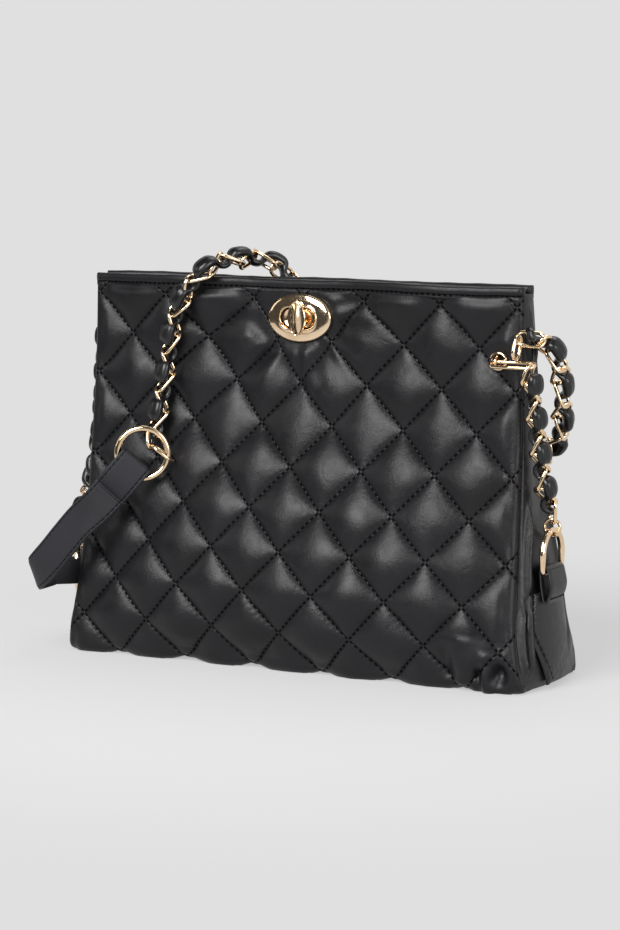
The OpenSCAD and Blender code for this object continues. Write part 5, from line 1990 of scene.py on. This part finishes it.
@dataclass
class Studio:
    """Camera, lamps, floor and backdrop."""

    azimuth: float = 28.0
    rise: float = 7.4
    distance: float = 1.516
    target: tuple = (-0.002, -0.005, 0.098)
    lens: float = 119.6
    backdrop: str = "#e0e0e0"
    fill: float = 0.3
    room: float = 0.09
    room_way: tuple = (-0.453, -0.655, 0.604)
    floor_edge: float = 1.3
    aim: tuple = (0.0, 0.0, 0.1)
    lamps: tuple = (("key", (-0.1, -1.4, 1.0), 1.05, 38.0), ("right", (1.45, -0.7, 0.55), 0.8, 10.0),
                    ("left", (-1.3, -0.5, 0.6), 0.6, 1.5), ("top", (0.1, 0.5, 1.5), 0.9, 7.0))

    def build(self) -> None:
        """Builds all of it."""
        self._camera()
        self._world()
        self._floor()
        for lamp in self.lamps:
            self._lamp(*lamp)
        bpy.context.scene.view_settings.view_transform = "Standard"

    def _camera(self) -> None:
        """Sets the camera at the photograph's angle."""
        a, e = math.radians(self.azimuth), math.radians(self.rise)
        look = Vector((-math.sin(a) * math.cos(e), math.cos(a) * math.cos(e), -math.sin(e)))
        data = bpy.data.cameras.new("photo_camera")
        data.sensor_fit = "VERTICAL"
        data.sensor_height = 36.0
        data.lens = self.lens
        data.clip_start = 0.05
        camera = bpy.data.objects.new("photo_camera", data)
        bpy.context.collection.objects.link(camera)
        camera.location = Vector(self.target) - look * self.distance
        camera.rotation_euler = look.to_track_quat("-Z", "Y").to_euler()
        bpy.context.scene.camera = camera

    def _world(self) -> None:
        """Lights softly from all round, and shows the pale backdrop to camera and mirror rays.

        Mirrors also see the dimmer room that lies before and above the bag, to the left, which gives polished
        metal its dark side.
        """
        world = bpy.data.worlds.new("studio")
        world.use_nodes = True
        bpy.context.scene.world = world
        tree = world.node_tree
        tree.nodes.clear()
        soft = add(tree, "Background", {"Color": (1, 1, 1, 1), "Strength": self.fill})
        way = add(tree, "VectorMath", {"operation": "DOT_PRODUCT", 1: self.room_way},
                  {0: add(tree, "TexCoord").outputs["Generated"]}).outputs["Value"]
        dim = add(tree, "MapRange", {1: 0.1, 2: 0.6, 3: 1.0, 4: self.room,
                                     "interpolation_type": "SMOOTHSTEP"}, {0: way}).outputs[0]
        level = maths(tree, "MAXIMUM", dim, add(tree, "LightPath").outputs["Is Camera Ray"])
        pale = add(tree, "Background", {"Color": linear(self.backdrop)}, {"Strength": level})
        mix = add(tree, "MixShader", links={0: seen_rays(tree), 1: soft.outputs[0], 2: pale.outputs[0]})
        add(tree, "OutputWorld", links={0: mix.outputs[0]})

    def _floor(self) -> None:
        """Lays the paper floor: it ends before the camera's foot, so that polished metal sees the room beyond."""
        deselect()
        bpy.ops.mesh.primitive_grid_add(x_subdivisions=8, y_subdivisions=8, size=self.floor_edge)
        floor = bpy.context.active_object
        floor.name = "studio_floor"
        floor.data.materials.append(StudioFloorFinish(colour=self.backdrop).build())

    def _lamp(self, name: str, place: tuple, size: float, power: float) -> None:
        """Adds a soft square lamp that faces the bag.

        Args:
            name: the lamp's name.
            place: where it stands, metres.
            size: its edge, metres.
            power: its power, watts.
        """
        data = bpy.data.lights.new(name, "AREA")
        data.size = size
        data.energy = power
        lamp = bpy.data.objects.new(name, data)
        bpy.context.collection.objects.link(lamp)
        lamp.location = place
        lamp.rotation_euler = (Vector(self.aim) - Vector(place)).to_track_quat("-Z", "Y").to_euler()


def main() -> None:
    """Builds the bag piece by piece, then the studio."""
    logging.basicConfig(level=logging.INFO, format="%(name)s: %(message)s")
    finishes = Finishes.make()
    dress_cad_nodes(finishes)
    Studio().build()
    QuiltedWrap().build(finishes)
    for side in Side:
        SideGusset(side).build(finishes)
        SideTab(side).build(finishes)
    for wall in Wall:
        RimBinding(wall).build(finishes)
    Lining().build(finishes)
    SideHardware().build(finishes)
    TurnLock().build(finishes)
    for name, route in ROUTES.items():
        ChainRun(name, route, **WEAVES[name]).build(finishes)
    StrapRings().build(finishes)
    ShoulderPad().build(finishes)


if __name__ == "__main__":
    main()
